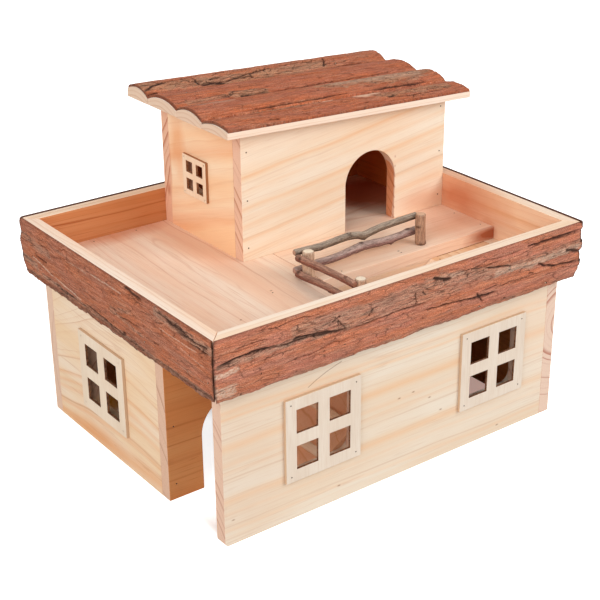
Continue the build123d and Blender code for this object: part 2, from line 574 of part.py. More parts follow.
def write():
    """Moves the origin to the centre of the foot and writes one STEP file per node."""
    os.makedirs("parts", exist_ok=True)
    box = Compound(children=[solid for group in pieces.values() for solid in group]).bounding_box()
    shift = Pos(-(box.min.X + box.max.X) / 2, -(box.min.Y + box.max.Y) / 2, 0)
    for node, group in pieces.items():
        solids = [shift * piece for shape in group for piece in shape.solids()]
        export_step(solids[0] if len(solids) == 1 else Compound(children=solids), f"parts/{node}.step")
        print(node, len(solids))
    print("origin moved by", shift.position, "size", box.size)


build()
write()
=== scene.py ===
"""Looks of the two-storey wooden hamster house: pine boards, half-log rim and roof in bark, twig fence."""

from __future__ import annotations

import logging
import math
from dataclasses import dataclass, replace
from enum import Enum
from functools import partialmethod
from typing import Any, Callable, ClassVar, Mapping, Sequence

import bmesh
import bpy
import numpy as np
from mathutils import Matrix, Vector

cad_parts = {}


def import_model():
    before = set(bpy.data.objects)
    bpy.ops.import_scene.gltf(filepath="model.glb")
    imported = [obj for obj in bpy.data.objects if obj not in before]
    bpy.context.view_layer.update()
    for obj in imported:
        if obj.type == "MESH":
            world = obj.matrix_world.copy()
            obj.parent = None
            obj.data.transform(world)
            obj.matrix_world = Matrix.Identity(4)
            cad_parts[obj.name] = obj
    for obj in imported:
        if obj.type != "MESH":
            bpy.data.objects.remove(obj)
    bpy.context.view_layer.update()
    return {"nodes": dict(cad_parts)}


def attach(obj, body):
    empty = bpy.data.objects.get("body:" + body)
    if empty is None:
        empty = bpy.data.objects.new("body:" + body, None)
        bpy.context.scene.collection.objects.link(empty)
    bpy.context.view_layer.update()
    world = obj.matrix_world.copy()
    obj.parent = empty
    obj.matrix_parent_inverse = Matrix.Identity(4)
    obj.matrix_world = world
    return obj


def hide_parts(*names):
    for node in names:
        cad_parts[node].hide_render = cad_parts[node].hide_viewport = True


log = logging.getLogger("hamster_house")

MM = 0.001
ZERO = (0.0, 0.0, 0.0)
Colour = tuple[float, float, float]
Point = tuple[float, float, float]
Spot = tuple[float, float]
Profile = list[Spot]
Grid = np.ndarray
Piece = bpy.types.Object
Material = bpy.types.Material
Mesh = bpy.types.Mesh
Tree = bpy.types.NodeTree
Socket = bpy.types.NodeSocket
Sockets = Mapping[str, Socket]

ORIGIN = (180.992, 141.89)      # from the front wall's left foot to the part's origin
HOUSE = (350.0, 275.7)          # lower storey, length and depth
RIM_TOP = 184.2
RIM_FOOT = 136.2
FLOOR_TOP = 153.0


def srgb(screen: int) -> Colour:
    """Turns a colour written as 0xRRGGBB screen values into the linear values that shaders read.

    Args:
        screen: The colour, with two hexadecimal digits for each of red, green and blue.

    Returns:
        The linear colour.
    """
    shares = ((screen >> 16) / 255, (screen >> 8 & 255) / 255, (screen & 255) / 255)
    return tuple(c / 12.92 if c <= 0.04045 else ((c + 0.055) / 1.055) ** 2.4 for c in shares)


def to_part(x: Grid, y: Grid, z: Grid) -> Grid:
    """Returns points of the maker's frame, with its zero at the front wall's left foot, in the part's frame."""
    return np.stack([x - ORIGIN[0], y - ORIGIN[1], z], -1)


# ---------------- node trees
class Graph:
    """Adds nodes to one tree and joins their sockets."""

    def __init__(self, tree: Tree) -> None:
        """Keeps the tree that the nodes go into."""
        self.tree = tree

    def feed(self, socket: Socket, value: Any) -> None:
        """Links a socket to a socket, or sets it to a constant."""
        if isinstance(value, Socket):
            self.tree.links.new(value, socket)
        elif socket.type == "RGBA" and len(value) == 3:
            socket.default_value = (*value, 1.0)
        else:
            socket.default_value = value

    def add(self, kind: str, inputs: Mapping[str | int, Any] | None = None, **settings: Any) -> bpy.types.Node:
        """Adds one node.

        Args:
            kind: Blender's name of the node type.
            inputs: Values or sockets, by input name or index.
            **settings: Properties of the node itself.

        Returns:
            The node.
        """
        node = self.tree.nodes.new(kind)
        for name, value in settings.items():
            setattr(node, name, value)
        for key, value in (inputs or {}).items():
            self.feed(node.inputs[key], value)
        return node

    def math(self, operation: str, *values: Any, clamp: bool = False) -> Socket:
        """Returns the result of a Math node."""
        return self.add("ShaderNodeMath", dict(enumerate(values)), operation=operation, use_clamp=clamp).outputs[0]

    plus = partialmethod(math, "ADD")
    minus = partialmethod(math, "SUBTRACT")
    times = partialmethod(math, "MULTIPLY")
    times_plus = partialmethod(math, "MULTIPLY_ADD")
    over = partialmethod(math, "DIVIDE")
    size = partialmethod(math, "ABSOLUTE")
    most = partialmethod(math, "MAXIMUM")

    def near(self, value: Any, level: float, span: float, full: float = 1.0) -> Socket:
        """Returns full where a value is at a level, fading to 0 at span from it."""
        return self.remap(self.size(self.minus(value, level)), 0.0, span, full, 0.0)

    def vector(self, operation: str, *values: Any) -> Socket:
        """Returns the vector result of a Vector Math node."""
        node = self.add("ShaderNodeVectorMath", dict(enumerate(values)), operation=operation)
        return node.outputs["Value" if operation in {"DOT_PRODUCT", "LENGTH", "DISTANCE"} else "Vector"]

    scaled = partialmethod(vector, "MULTIPLY")
    length = partialmethod(vector, "LENGTH")
    dot = partialmethod(vector, "DOT_PRODUCT")
    offset = partialmethod(vector, "SUBTRACT")

    def split(self, vector: Any) -> Mapping[int, Socket]:
        """Returns the three numbers of a vector."""
        return self.add("ShaderNodeSeparateXYZ", {0: vector}).outputs

    def grown(self, vector: Any, factor: Any) -> Socket:
        """Returns a vector times a number."""
        return self.add("ShaderNodeVectorMath", {0: vector, "Scale": factor}, operation="SCALE").outputs[0]

    def noise(self, vector: Any, scale: float, detail: float = 2.0, roughness: float = 0.5,
              distortion: float = 0.0, **settings: Any) -> Socket:
        """Returns the value of a Noise Texture."""
        where = "W" if settings.get("noise_dimensions") == "1D" else "Vector"
        inputs = {where: vector, "Scale": scale, "Detail": detail, "Roughness": roughness, "Distortion": distortion}
        return self.add("ShaderNodeTexNoise", inputs, **settings).outputs[0]

    def drawn(self, vector: Any, factors: Point, detail: float = 2.0, roughness: float = 0.5) -> Socket:
        """Returns noise that is drawn out by a factor along each axis."""
        return self.noise(self.scaled(vector, factors), 1.0, detail, roughness)

    def warped(self, vector: Any, factors: Point, push: Point) -> Socket:
        """Returns the push of drawn-out noise, to be added to a vector."""
        noise = self.add("ShaderNodeTexNoise", {"Vector": self.scaled(vector, factors), "Scale": 1.0, "Detail": 2.0})
        return self.scaled(noise.outputs["Color"], push)

    def remap(self, value: Any, low: float, high: float, to_low: float = 0.0, to_high: float = 1.0,
              smooth: bool = True) -> Socket:
        """Returns a value moved from one range to another, clamped at both ends."""
        inputs = {"Value": value, "From Min": low, "From Max": high, "To Min": to_low, "To Max": to_high}
        return self.add("ShaderNodeMapRange", inputs, interpolation_type="SMOOTHSTEP" if smooth
                        else "LINEAR").outputs[0]

    def mix(self, factor: Any, first: Any, second: Any, blend: str = "MIX") -> Socket:
        """Returns a mix of two colours."""
        node = self.add("ShaderNodeMix", data_type="RGBA", blend_type=blend)
        for index, value in ((0, factor), (6, first), (7, second)):
            self.feed(node.inputs[index], value)
        return node.outputs[2]

    def tint(self, colour: Any, other: Any) -> Socket:
        """Returns a colour multiplied by another."""
        return self.mix(1.0, colour, other, "MULTIPLY")

    def cover(self, colour: Any, *layers: tuple[Socket, float, Any]) -> Socket:
        """Returns a colour with others laid over it, each with its mask and the mask's share."""
        for mask, share, over in layers:
            colour = self.mix(mask if share == 1.0 else self.times(mask, share), colour, over)
        return colour

    def millimetres(self, coordinates: bpy.types.Node) -> Socket:
        """Returns object coordinates as millimetres of the maker's frame."""
        return self.add("ShaderNodeMapping", {"Vector": coordinates.outputs["Object"], "Scale": (1000.0,) * 3,
                                              "Location": (*ORIGIN, 0.0)}, vector_type="POINT").outputs[0]

    def bump(self, height: Socket, strength: float, distance: float) -> Socket:
        """Returns the normal of a bumpy surface; the distance is in metres."""
        return self.add("ShaderNodeBump", {"Height": height, "Strength": strength, "Distance": distance}).outputs[0]

    def skin(self, colour: Socket, roughness: Any, specular: float = 0.25, **more: Any) -> None:
        """Ends a material in its shader.

        Args:
            colour: Base colour.
            roughness: Roughness, as a socket or a number.
            specular: Strength of the mirror-like share.
            **more: Further inputs of the shader, by name.
        """
        inputs = {"Base Color": colour, "Roughness": roughness, "Specular IOR Level": specular, **more}
        shader = self.add("ShaderNodeBsdfPrincipled", inputs)
        self.add("ShaderNodeOutputMaterial", {"Surface": shader.outputs[0]})

    def ramp(self, factor: Any, stops: Sequence[tuple[float, Colour]], interpolation: str = "LINEAR") -> Socket:
        """Returns the colour of a Color Ramp with the given stops."""
        node = self.add("ShaderNodeValToRGB", {0: factor})
        ramp = node.color_ramp
        ramp.interpolation = interpolation
        while len(ramp.elements) > 1:
            ramp.elements.remove(ramp.elements[-1])
        for number, (place, colour) in enumerate(stops):
            element = ramp.elements[0] if number == 0 else ramp.elements.new(place)
            element.position, element.color = place, (*colour, 1.0)
        return node.outputs[0]


def link_object(name: str, data: bpy.types.ID) -> Piece:
    """Returns a new object at the origin, linked to the scene."""
    made = bpy.data.objects.new(name, data)
    bpy.context.scene.collection.objects.link(made)
    return made


def hand_over(piece: Piece, node: str) -> Piece:
    """Lets a piece stand for a plain node.

    Args:
        piece: The piece, at the origin.
        node: Name of the node.

    Returns:
        The piece.
    """
    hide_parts(node)
    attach(piece, "root")
    return piece


class ShaderGroup:
    """A shared shader node group, built the first time that it is asked for."""

    built: dict[str, Tree] = {}

    def __init__(self, name: str, inputs: Mapping[str, Any], outputs: Sequence[str],
                 fill: Callable[[Graph, Sockets], Sockets]) -> None:
        """Keeps what the group is made of.

        Args:
            name: Name of the group.
            inputs: Default value of each input, by name: a number, or a vector.
            outputs: Names of the outputs, which are all plain numbers.
            fill: Builds the inside from the input sockets, and returns the output sockets.
        """
        self.name, self.inputs, self.outputs, self.fill = name, inputs, outputs, fill

    def tree(self) -> Tree:
        """Returns the group's tree."""
        if self.name in ShaderGroup.built:
            return ShaderGroup.built[self.name]
        tree = bpy.data.node_groups.new(self.name, "ShaderNodeTree")
        for name, default in self.inputs.items():
            kind = "NodeSocketFloat" if isinstance(default, (int, float)) else "NodeSocketVector"
            tree.interface.new_socket(name, in_out="INPUT", socket_type=kind).default_value = default
        for name in self.outputs:
            tree.interface.new_socket(name, in_out="OUTPUT", socket_type="NodeSocketFloat")
        net = Graph(tree)
        entry = net.add("NodeGroupInput")
        leave = net.add("NodeGroupOutput")
        for name, socket in self.fill(net, entry.outputs).items():
            net.feed(leave.inputs[name], socket)
        ShaderGroup.built[self.name] = tree
        return tree

    def place(self, net: Graph, **inputs: Any) -> Sockets:
        """Places the group in a tree, with underscores in the names standing for spaces, and returns its outputs."""
        node = net.add("ShaderNodeGroup", node_tree=self.tree())
        for name, value in inputs.items():
            net.feed(node.inputs[name.replace("_", " ")], value)
        return node.outputs


def _growth_rings(net: Graph, given: Sockets) -> Sockets:
    """Growth rings round a pith line along X, fibres along X and a slow change of tone; lengths are millimetres."""
    place = given["Vector"]
    slow = net.drawn(place, (0.006, 0.025, 0.025))
    medium = net.drawn(place, (0.02, 0.12, 0.12))
    sway = net.plus(net.times(net.minus(slow, 0.5), given["Waver"]),
                    net.times(net.minus(medium, 0.5), net.times(given["Waver"], 0.12)))
    from_pith = net.offset(place, given["Pith"])
    radius = net.length(net.scaled(from_pith, (0.0, 1.0, 1.0)))
    start = net.length(net.scaled(given["Pith"], (0.0, 1.0, 1.0)))
    off_middle = net.minus(net.split(place)[0], given["Fan Middle"])
    spread = net.times_plus(net.times(off_middle, off_middle), given["Fan"], 1.0)
    across = net.times_plus(net.minus(radius, start), spread, sway)
    year = net.over(across, given["Ring Width"])
    uneven = net.noise(year, 0.45, 1.0, noise_dimensions="1D")
    year = net.plus(year, net.times(uneven, 1.6))
    share = net.math("FRACT", year)
    rise = net.math("POWER", share, 3.0)
    edge = net.remap(share, 0.9, 1.0, 1.0, 0.0)
    strength = net.remap(net.noise(net.math("FLOOR", year), 0.37, 0.0, noise_dimensions="1D"), 0.35, 0.65)
    late = net.times(net.times(rise, edge), strength)
    fibre = net.drawn(place, (0.035, 1.5, 1.5), 3.0, 0.6)
    tone = net.drawn(place, (0.004, 0.03, 0.03), 3.0)
    drawn = net.drawn(place, (0.003, 0.16, 0.16), 3.0, 0.5)
    hair = net.near(drawn, 0.5, 0.014, 0.6)
    chosen = net.remap(net.noise(net.times(net.math("FLOOR", year), 3.7), 1.0, 0.0, noise_dimensions="1D"), 0.4, 0.6)
    line = net.near(share, 0.88, 0.07)
    hair = net.most(hair, net.times(line, chosen))
    return {"Late": late, "Across": across, "Fibre": fibre, "Tone": tone, "Hair": hair}


GROWTH_RINGS = ShaderGroup(
    "growth_rings", {"Vector": ZERO, "Pith": (0.0, 0.0, -300.0), "Ring Width": 6.0, "Waver": 6.0, "Fan": 0.0,
                     "Fan Middle": 0.0},
    ("Late", "Across", "Fibre", "Tone", "Hair"), _growth_rings)


# ---------------- finishes
class Grain(Enum):
    """The direction in which a board's grain runs, as the turn that brings it to X."""

    ALONG_X = (0.0, 0.0, 0.0)
    ALONG_Y = (0.0, 0.0, -math.pi / 2)
    UPRIGHT = (0.0, math.pi / 2, 0.0)


@dataclass(frozen=True)
class Patch:
    """A soft-edged place of another colour in a board, in millimetres of the maker's frame, used for knots and
    blotches of the wood and for places of painted shade and painted light.
    """

    middle: Point
    size: Point
    colour: Colour
    strength: float = 1.0
    core: float = 0.3


@dataclass(frozen=True)
class Check:
    """A fine drying crack in a board's face, from one point to the next."""

    line: tuple[Point, ...]
    width: float = 0.5
    strength: float = 0.8
    colour: Colour = srgb(0x78462D)


def _soft_patch(net: Graph, given: Sockets) -> Sockets:
    """A mask that is full inside the core's radius and fades to nothing at radius 1, with a restless edge."""
    distance = net.length(given["Vector"])
    restless = net.times_plus(net.noise(given["Vector"], 1.7, 3.0), 0.5, -0.25)
    distance = net.plus(distance, restless)
    span = net.minus(1.0, given["Core"])
    share = net.over(net.minus(1.0, distance), span, clamp=True)
    return {"Mask": net.times(share, given["Strength"])}


SOFT_PATCH = ShaderGroup("soft_patch", {"Vector": ZERO, "Core": 0.3, "Strength": 1.0}, ("Mask",), _soft_patch)


def _fine_line(net: Graph, given: Sockets) -> Sockets:
    """A mask along the straight line from Start to End, fading over Width."""
    run = net.offset(given["End"], given["Start"])
    off = net.offset(given["Vector"], given["Start"])
    share = net.over(net.dot(off, run), net.dot(run, run), clamp=True)
    distance = net.length(net.offset(off, net.grown(run, share)))
    return {"Mask": net.minus(1.0, net.over(distance, given["Width"]), clamp=True)}


FINE_LINE = ShaderGroup("fine_line", {"Vector": ZERO, "Start": ZERO, "End": (1.0, 0.0, 0.0), "Width": 0.5}, ("Mask",),
                        _fine_line)


@dataclass(frozen=True)
class Finish:
    """A finish that is painted with shader nodes."""

    name: str

    def material(self) -> Material:
        """Returns the finish as a new material."""
        material = bpy.data.materials.new(self.name)
        material.use_nodes = True
        material.node_tree.nodes.clear()
        self.paint(Graph(material.node_tree))
        return material


@dataclass(frozen=True)
class PineFinish(Finish):
    """Bare sawn pine of one board; corner and pith are millimetres, the corner in the maker's frame."""

    grain: Grain = Grain.ALONG_X
    corner: Point = (0.0, 0.0, 0.0)
    pith: Point = (0.0, 200.0, -140.0)
    turn: Point = (0.0, 0.0, 0.0)
    early: Colour = srgb(0xF0DBC2)
    late_wood: Colour = srgb(0xE4BA8C)
    end_wood: Colour = srgb(0xE2BEA4)
    end_ring: Colour = srgb(0xC4947A)
    ring_width: float = 6.0
    waver: float = 7.0
    fan: float = 0.0
    fan_middle: float = 0.0
    late_share: float = 0.5
    streaks: tuple[tuple[float, float, float], ...] = ()
    streak_colour: Colour = srgb(0xE8B680)
    blush: Colour = srgb(0xFCE2C8)
    fibre_share: float = 0.3
    hair_share: float = 0.5
    patches: tuple[Patch, ...] = ()
    checks: tuple[Check, ...] = ()
    # Painted shade: faces turned each listed way are multiplied by a warmer, darker colour, on inside faces, inner
    # faces and undersides; the UNDER_BARK entries give the face under the bark its own colour.
    shade_and_under_bark_tints: tuple[tuple[Point, Colour], ...] = ()

    def across(self, height: float) -> float:
        """Returns the distance over the rings at a height on the board's face."""
        return math.hypot(self.pith[1], height - self.pith[2]) - math.hypot(self.pith[1], self.pith[2])

    def streak_mask(self, net: Graph, across: Socket) -> Socket:
        """Returns the mask of the darker streaks, whose heights on the face are given."""
        span = 400.0
        stops: list[tuple[float, Colour]] = [(0.0, (0.0,) * 3)]
        for middle, half, strength in sorted(self.streaks)[:10]:
            low, centre, high = (self.across(h) / span + 0.5 for h in (middle - half, middle, middle + half))
            stops += [(low, (0.0,) * 3), (centre, (strength,) * 3), (high, (0.0,) * 3)]
        return net.ramp(net.plus(net.over(across, span), 0.5), stops)

    def paint(self, net: Graph) -> None:
        """Fills the material."""
        coordinates = net.add("ShaderNodeTexCoord")
        angles = tuple(base + math.radians(extra) for base, extra in zip(self.grain.value, self.turn))
        millimetres = net.millimetres(coordinates)
        place = net.offset(millimetres, self.corner)
        turned = net.add("ShaderNodeMapping", {"Vector": place, "Rotation": angles}, vector_type="POINT").outputs[0]
        rings = GROWTH_RINGS.place(net, Vector=turned, Pith=self.pith, Ring_Width=self.ring_width, Waver=self.waver,
                                   Fan=self.fan, Fan_Middle=self.fan_middle)
        colour = net.mix(net.times(rings["Late"], self.late_share), self.early, self.late_wood)
        if self.streaks:
            colour = net.mix(self.streak_mask(net, rings["Across"]), colour, self.streak_colour)
        tone = net.remap(rings["Tone"], 0.35, 0.65, 0.0, 0.6)
        colour = net.mix(tone, colour, net.tint(colour, self.blush))
        hair = net.times(rings["Hair"], net.remap(rings["Tone"], 0.6, 0.45, 0.35 * self.hair_share, self.hair_share))
        colour = net.mix(hair, colour, net.tint(colour, srgb(0xCEA07C)))
        fibre = net.remap(rings["Fibre"], 0.42, 0.8, 0.0, self.fibre_share)
        colour = net.mix(fibre, colour, net.tint(colour, srgb(0xE2C4A8)))
        normal = net.add("ShaderNodeVectorRotate", {"Vector": coordinates.outputs["Normal"], "Rotation": angles},
                         rotation_type="EULER_XYZ").outputs[0]
        facing = net.size(net.dot(normal, (1.0, 0.0, 0.0)))
        pores = net.drawn(turned, (0.4, 1.4, 1.4), 3.0, 0.7)
        end_colour = net.mix(net.remap(rings["Late"], 0.05, 0.7), self.end_wood, self.end_ring)
        end_colour = net.mix(net.remap(pores, 0.45, 0.75, 0.0, 0.35), end_colour, self.end_ring)
        colour = net.mix(net.remap(facing, 0.6, 0.9), colour, end_colour)
        # Painted shade: faces turned the listed way take their tint.
        for direction, tint in self.shade_and_under_bark_tints:
            turned_to = net.dot(coordinates.outputs["Normal"], direction)
            colour = net.mix(net.remap(turned_to, 0.4, 0.8), colour, net.tint(colour, tint))
        # Patches paint knots and blotches, and in some boards painted shade and painted light.
        for patch in self.patches:
            where = net.vector("DIVIDE", net.offset(millimetres, patch.middle), patch.size)
            mask = SOFT_PATCH.place(net, Vector=where, Core=patch.core, Strength=patch.strength)["Mask"]
            colour = net.mix(mask, colour, net.mix(0.5, patch.colour, net.tint(colour, patch.colour)))
        sunk: Any = 0.0
        for check in self.checks:
            for start, end in zip(check.line, check.line[1:]):
                line = FINE_LINE.place(net, Vector=millimetres, Start=start, End=end, Width=check.width)["Mask"]
                colour = net.mix(net.times(line, check.strength), colour, check.colour)
                sunk = net.most(sunk, line)
        level = net.times_plus(rings["Late"], -0.3, rings["Fibre"])
        height = net.times_plus(sunk, -1.5, level) if self.checks else level
        rough = net.remap(rings["Late"], 0.0, 1.0, 0.66, 0.54)
        net.skin(colour, rough, Normal=net.bump(height, 0.3, 0.0002))


@dataclass(frozen=True)
class PlywoodFinish(Finish):
    """Pale plywood cut by laser, scorched in its panes; axis is the direction that its faces look in."""

    axis: Point
    middle: Point
    half: float = 36.75
    face: Colour = srgb(0xE4D6C6)
    shade: Colour = srgb(0xD8C4B0)
    edge: Colour = srgb(0x623A24)
    edge_light: Colour = srgb(0x96684A)
    rim: Colour = srgb(0xCEAE90)

    def paint(self, net: Graph) -> None:
        """Fills the material."""
        coordinates = net.add("ShaderNodeTexCoord")
        millimetres = net.scaled(coordinates.outputs["Object"], (1000.0,) * 3)
        grain = net.drawn(millimetres, (0.9, 0.9, 0.05), 3.0, 0.6)
        cloud = net.drawn(millimetres, (0.05, 0.05, 0.02))
        colour = net.mix(net.remap(grain, 0.4, 0.75, 0.0, 0.6), self.face, self.shade)
        colour = net.mix(net.remap(cloud, 0.4, 0.65, 0.0, 0.4), colour, self.shade)
        facing = net.size(net.dot(coordinates.outputs["Normal"], self.axis))
        scorch = net.drawn(millimetres, (0.5, 0.5, 0.5))
        from_middle = net.vector("ABSOLUTE", net.offset(millimetres, to_part(*self.middle).tolist()))
        reach_out = net.split(from_middle)
        farthest = net.most(net.most(reach_out[0], reach_out[1]), reach_out[2])
        outside = net.remap(farthest, self.half - 2.0, self.half - 1.0)
        edge = net.mix(net.remap(scorch, 0.35, 0.65), self.edge, self.edge_light)
        edge = net.mix(outside, edge, self.rim)
        colour = net.mix(net.remap(facing, 0.75, 0.45), colour, edge)
        net.skin(colour, 0.7, 0.2, Normal=net.bump(grain, 0.25, 0.0001))


@dataclass(frozen=True)
class WireFinish(Finish):
    """Dull steel wire with a darker tarnish; heads that face left are pale."""

    steel: Colour = srgb(0x685244)
    tarnish: Colour = srgb(0x2C1C16)
    pale_left_heads: Colour = srgb(0xECD2B4)

    def paint(self, net: Graph) -> None:
        """Fills the material."""
        place = net.scaled(net.add("ShaderNodeTexCoord").outputs["Object"], (1000.0,) * 3)
        spots = net.remap(net.noise(place, 1.1, 2.0), 0.4, 0.6)
        colour = net.mix(spots, self.steel, self.tarnish)
        sideways = net.dot(net.add("ShaderNodeNewGeometry").outputs["Normal"], (-1.0, 0.0, 0.0))
        pale_left_heads = net.remap(sideways, 0.8, 0.9)
        colour = net.mix(pale_left_heads, colour, self.pale_left_heads)
        net.skin(colour, net.remap(spots, 0.0, 1.0, 0.4, 0.6), 0.5, Metallic=net.remap(pale_left_heads, 0.0, 1.0, 0.8, 0.0))


# ---------------- relief
class Relief:
    """Seeded gradient noise in two dimensions."""

    def __init__(self, seed: int) -> None:
        """Shuffles the lattice for one seed."""
        chance = np.random.default_rng(seed)
        self.order = np.tile(chance.permutation(256), 2)
        angles = chance.uniform(0.0, 2 * math.pi, 256)
        self.slopes = np.stack([np.cos(angles), np.sin(angles)], -1)

    def single(self, along: Grid, across: Grid) -> Grid:
        """Returns one layer of noise, about -1 to 1."""
        cell_a, cell_c = np.floor(along).astype(int), np.floor(across).astype(int)
        fa, fc = along - cell_a, across - cell_c
        wa, wc = fa * fa * fa * (fa * (fa * 6 - 15) + 10), fc * fc * fc * (fc * (fc * 6 - 15) + 10)

        def corner(da: int, dc: int) -> Grid:
            """Returns the slope's share at one corner of the cell."""
            slope = self.slopes[self.order[self.order[(cell_a + da) % 256] + (cell_c + dc) % 256]]
            return slope[..., 0] * (fa - da) + slope[..., 1] * (fc - dc)

        near = corner(0, 0) * (1 - wa) + corner(1, 0) * wa
        far = corner(0, 1) * (1 - wa) + corner(1, 1) * wa
        return 1.5 * (near * (1 - wc) + far * wc)

    def layered(self, along: Grid, across: Grid, layers: int = 3, gain: float = 0.5) -> Grid:
        """Returns several layers of noise, each twice as fine and weaker by gain."""
        total, weight, size = np.zeros(np.broadcast(along, across).shape), 1.0, 0.0
        for layer in range(layers):
            total = total + weight * self.single(along * 2**layer + 17.3 * layer, across * 2**layer + 9.1 * layer)
            size, weight = size + weight, weight * gain
        return total / size


def soft_step(value: Grid, low: float, high: float) -> Grid:
    """Returns a smooth rise from 0 at low to 1 at high."""
    t = np.clip((value - low) / (high - low), 0.0, 1.0)
    return t * t * (3 - 2 * t)


class MarkKind(Enum):
    """What a mark on bark looks like."""

    CRACK = "crack"
    GREY = "grey"
    PALE = "pale"
    FRESH = "fresh"
    KNOT = "knot"


@dataclass(frozen=True)
class Mark:
    """A mark that follows a line over a slab's bark, in millimetres of the two directions that show."""

    kind: MarkKind
    line: tuple[Spot, ...]
    width: float = 1.2
    strength: float = 1.0


def crack(width: float, *line: float, strength: float = 1.0) -> Mark:
    """Returns a crack along a line, whose coordinates come pair by pair."""
    return Mark(MarkKind.CRACK, tuple(zip(line[::2], line[1::2])), width, strength)


def patch(kind: MarkKind, width: float, *line: float, strength: float = 1.0) -> Mark:
    """Returns a soft-edged patch along a line, whose coordinates come pair by pair."""
    return Mark(kind, tuple(zip(line[::2], line[1::2])), width, strength)


def reach(along: Grid, across: Grid, line: Profile) -> tuple[Grid, Grid]:
    """Measures how far grid points are from a line.

    Args:
        along: First coordinate of the points.
        across: Second coordinate of the points.
        line: Corners of the line, or a single point.

    Returns:
        The distance, and the share of the line's length at the nearest point.
    """
    corners = list(line) if len(line) > 1 else [line[0], (line[0][0] + 0.01, line[0][1])]
    best, share = np.full(along.shape, 1e9), np.zeros(along.shape)
    for number, ((a0, c0), (a1, c1)) in enumerate(zip(corners, corners[1:])):
        da, dc = a1 - a0, c1 - c0
        t = np.clip(((along - a0) * da + (across - c0) * dc) / (da * da + dc * dc), 0.0, 1.0)
        distance = np.hypot(along - a0 - t * da, across - c0 - t * dc)
        nearer = distance < best
        best, share = np.where(nearer, distance, best), np.where(nearer, (number + t) / (len(corners) - 1), share)
    return best, share


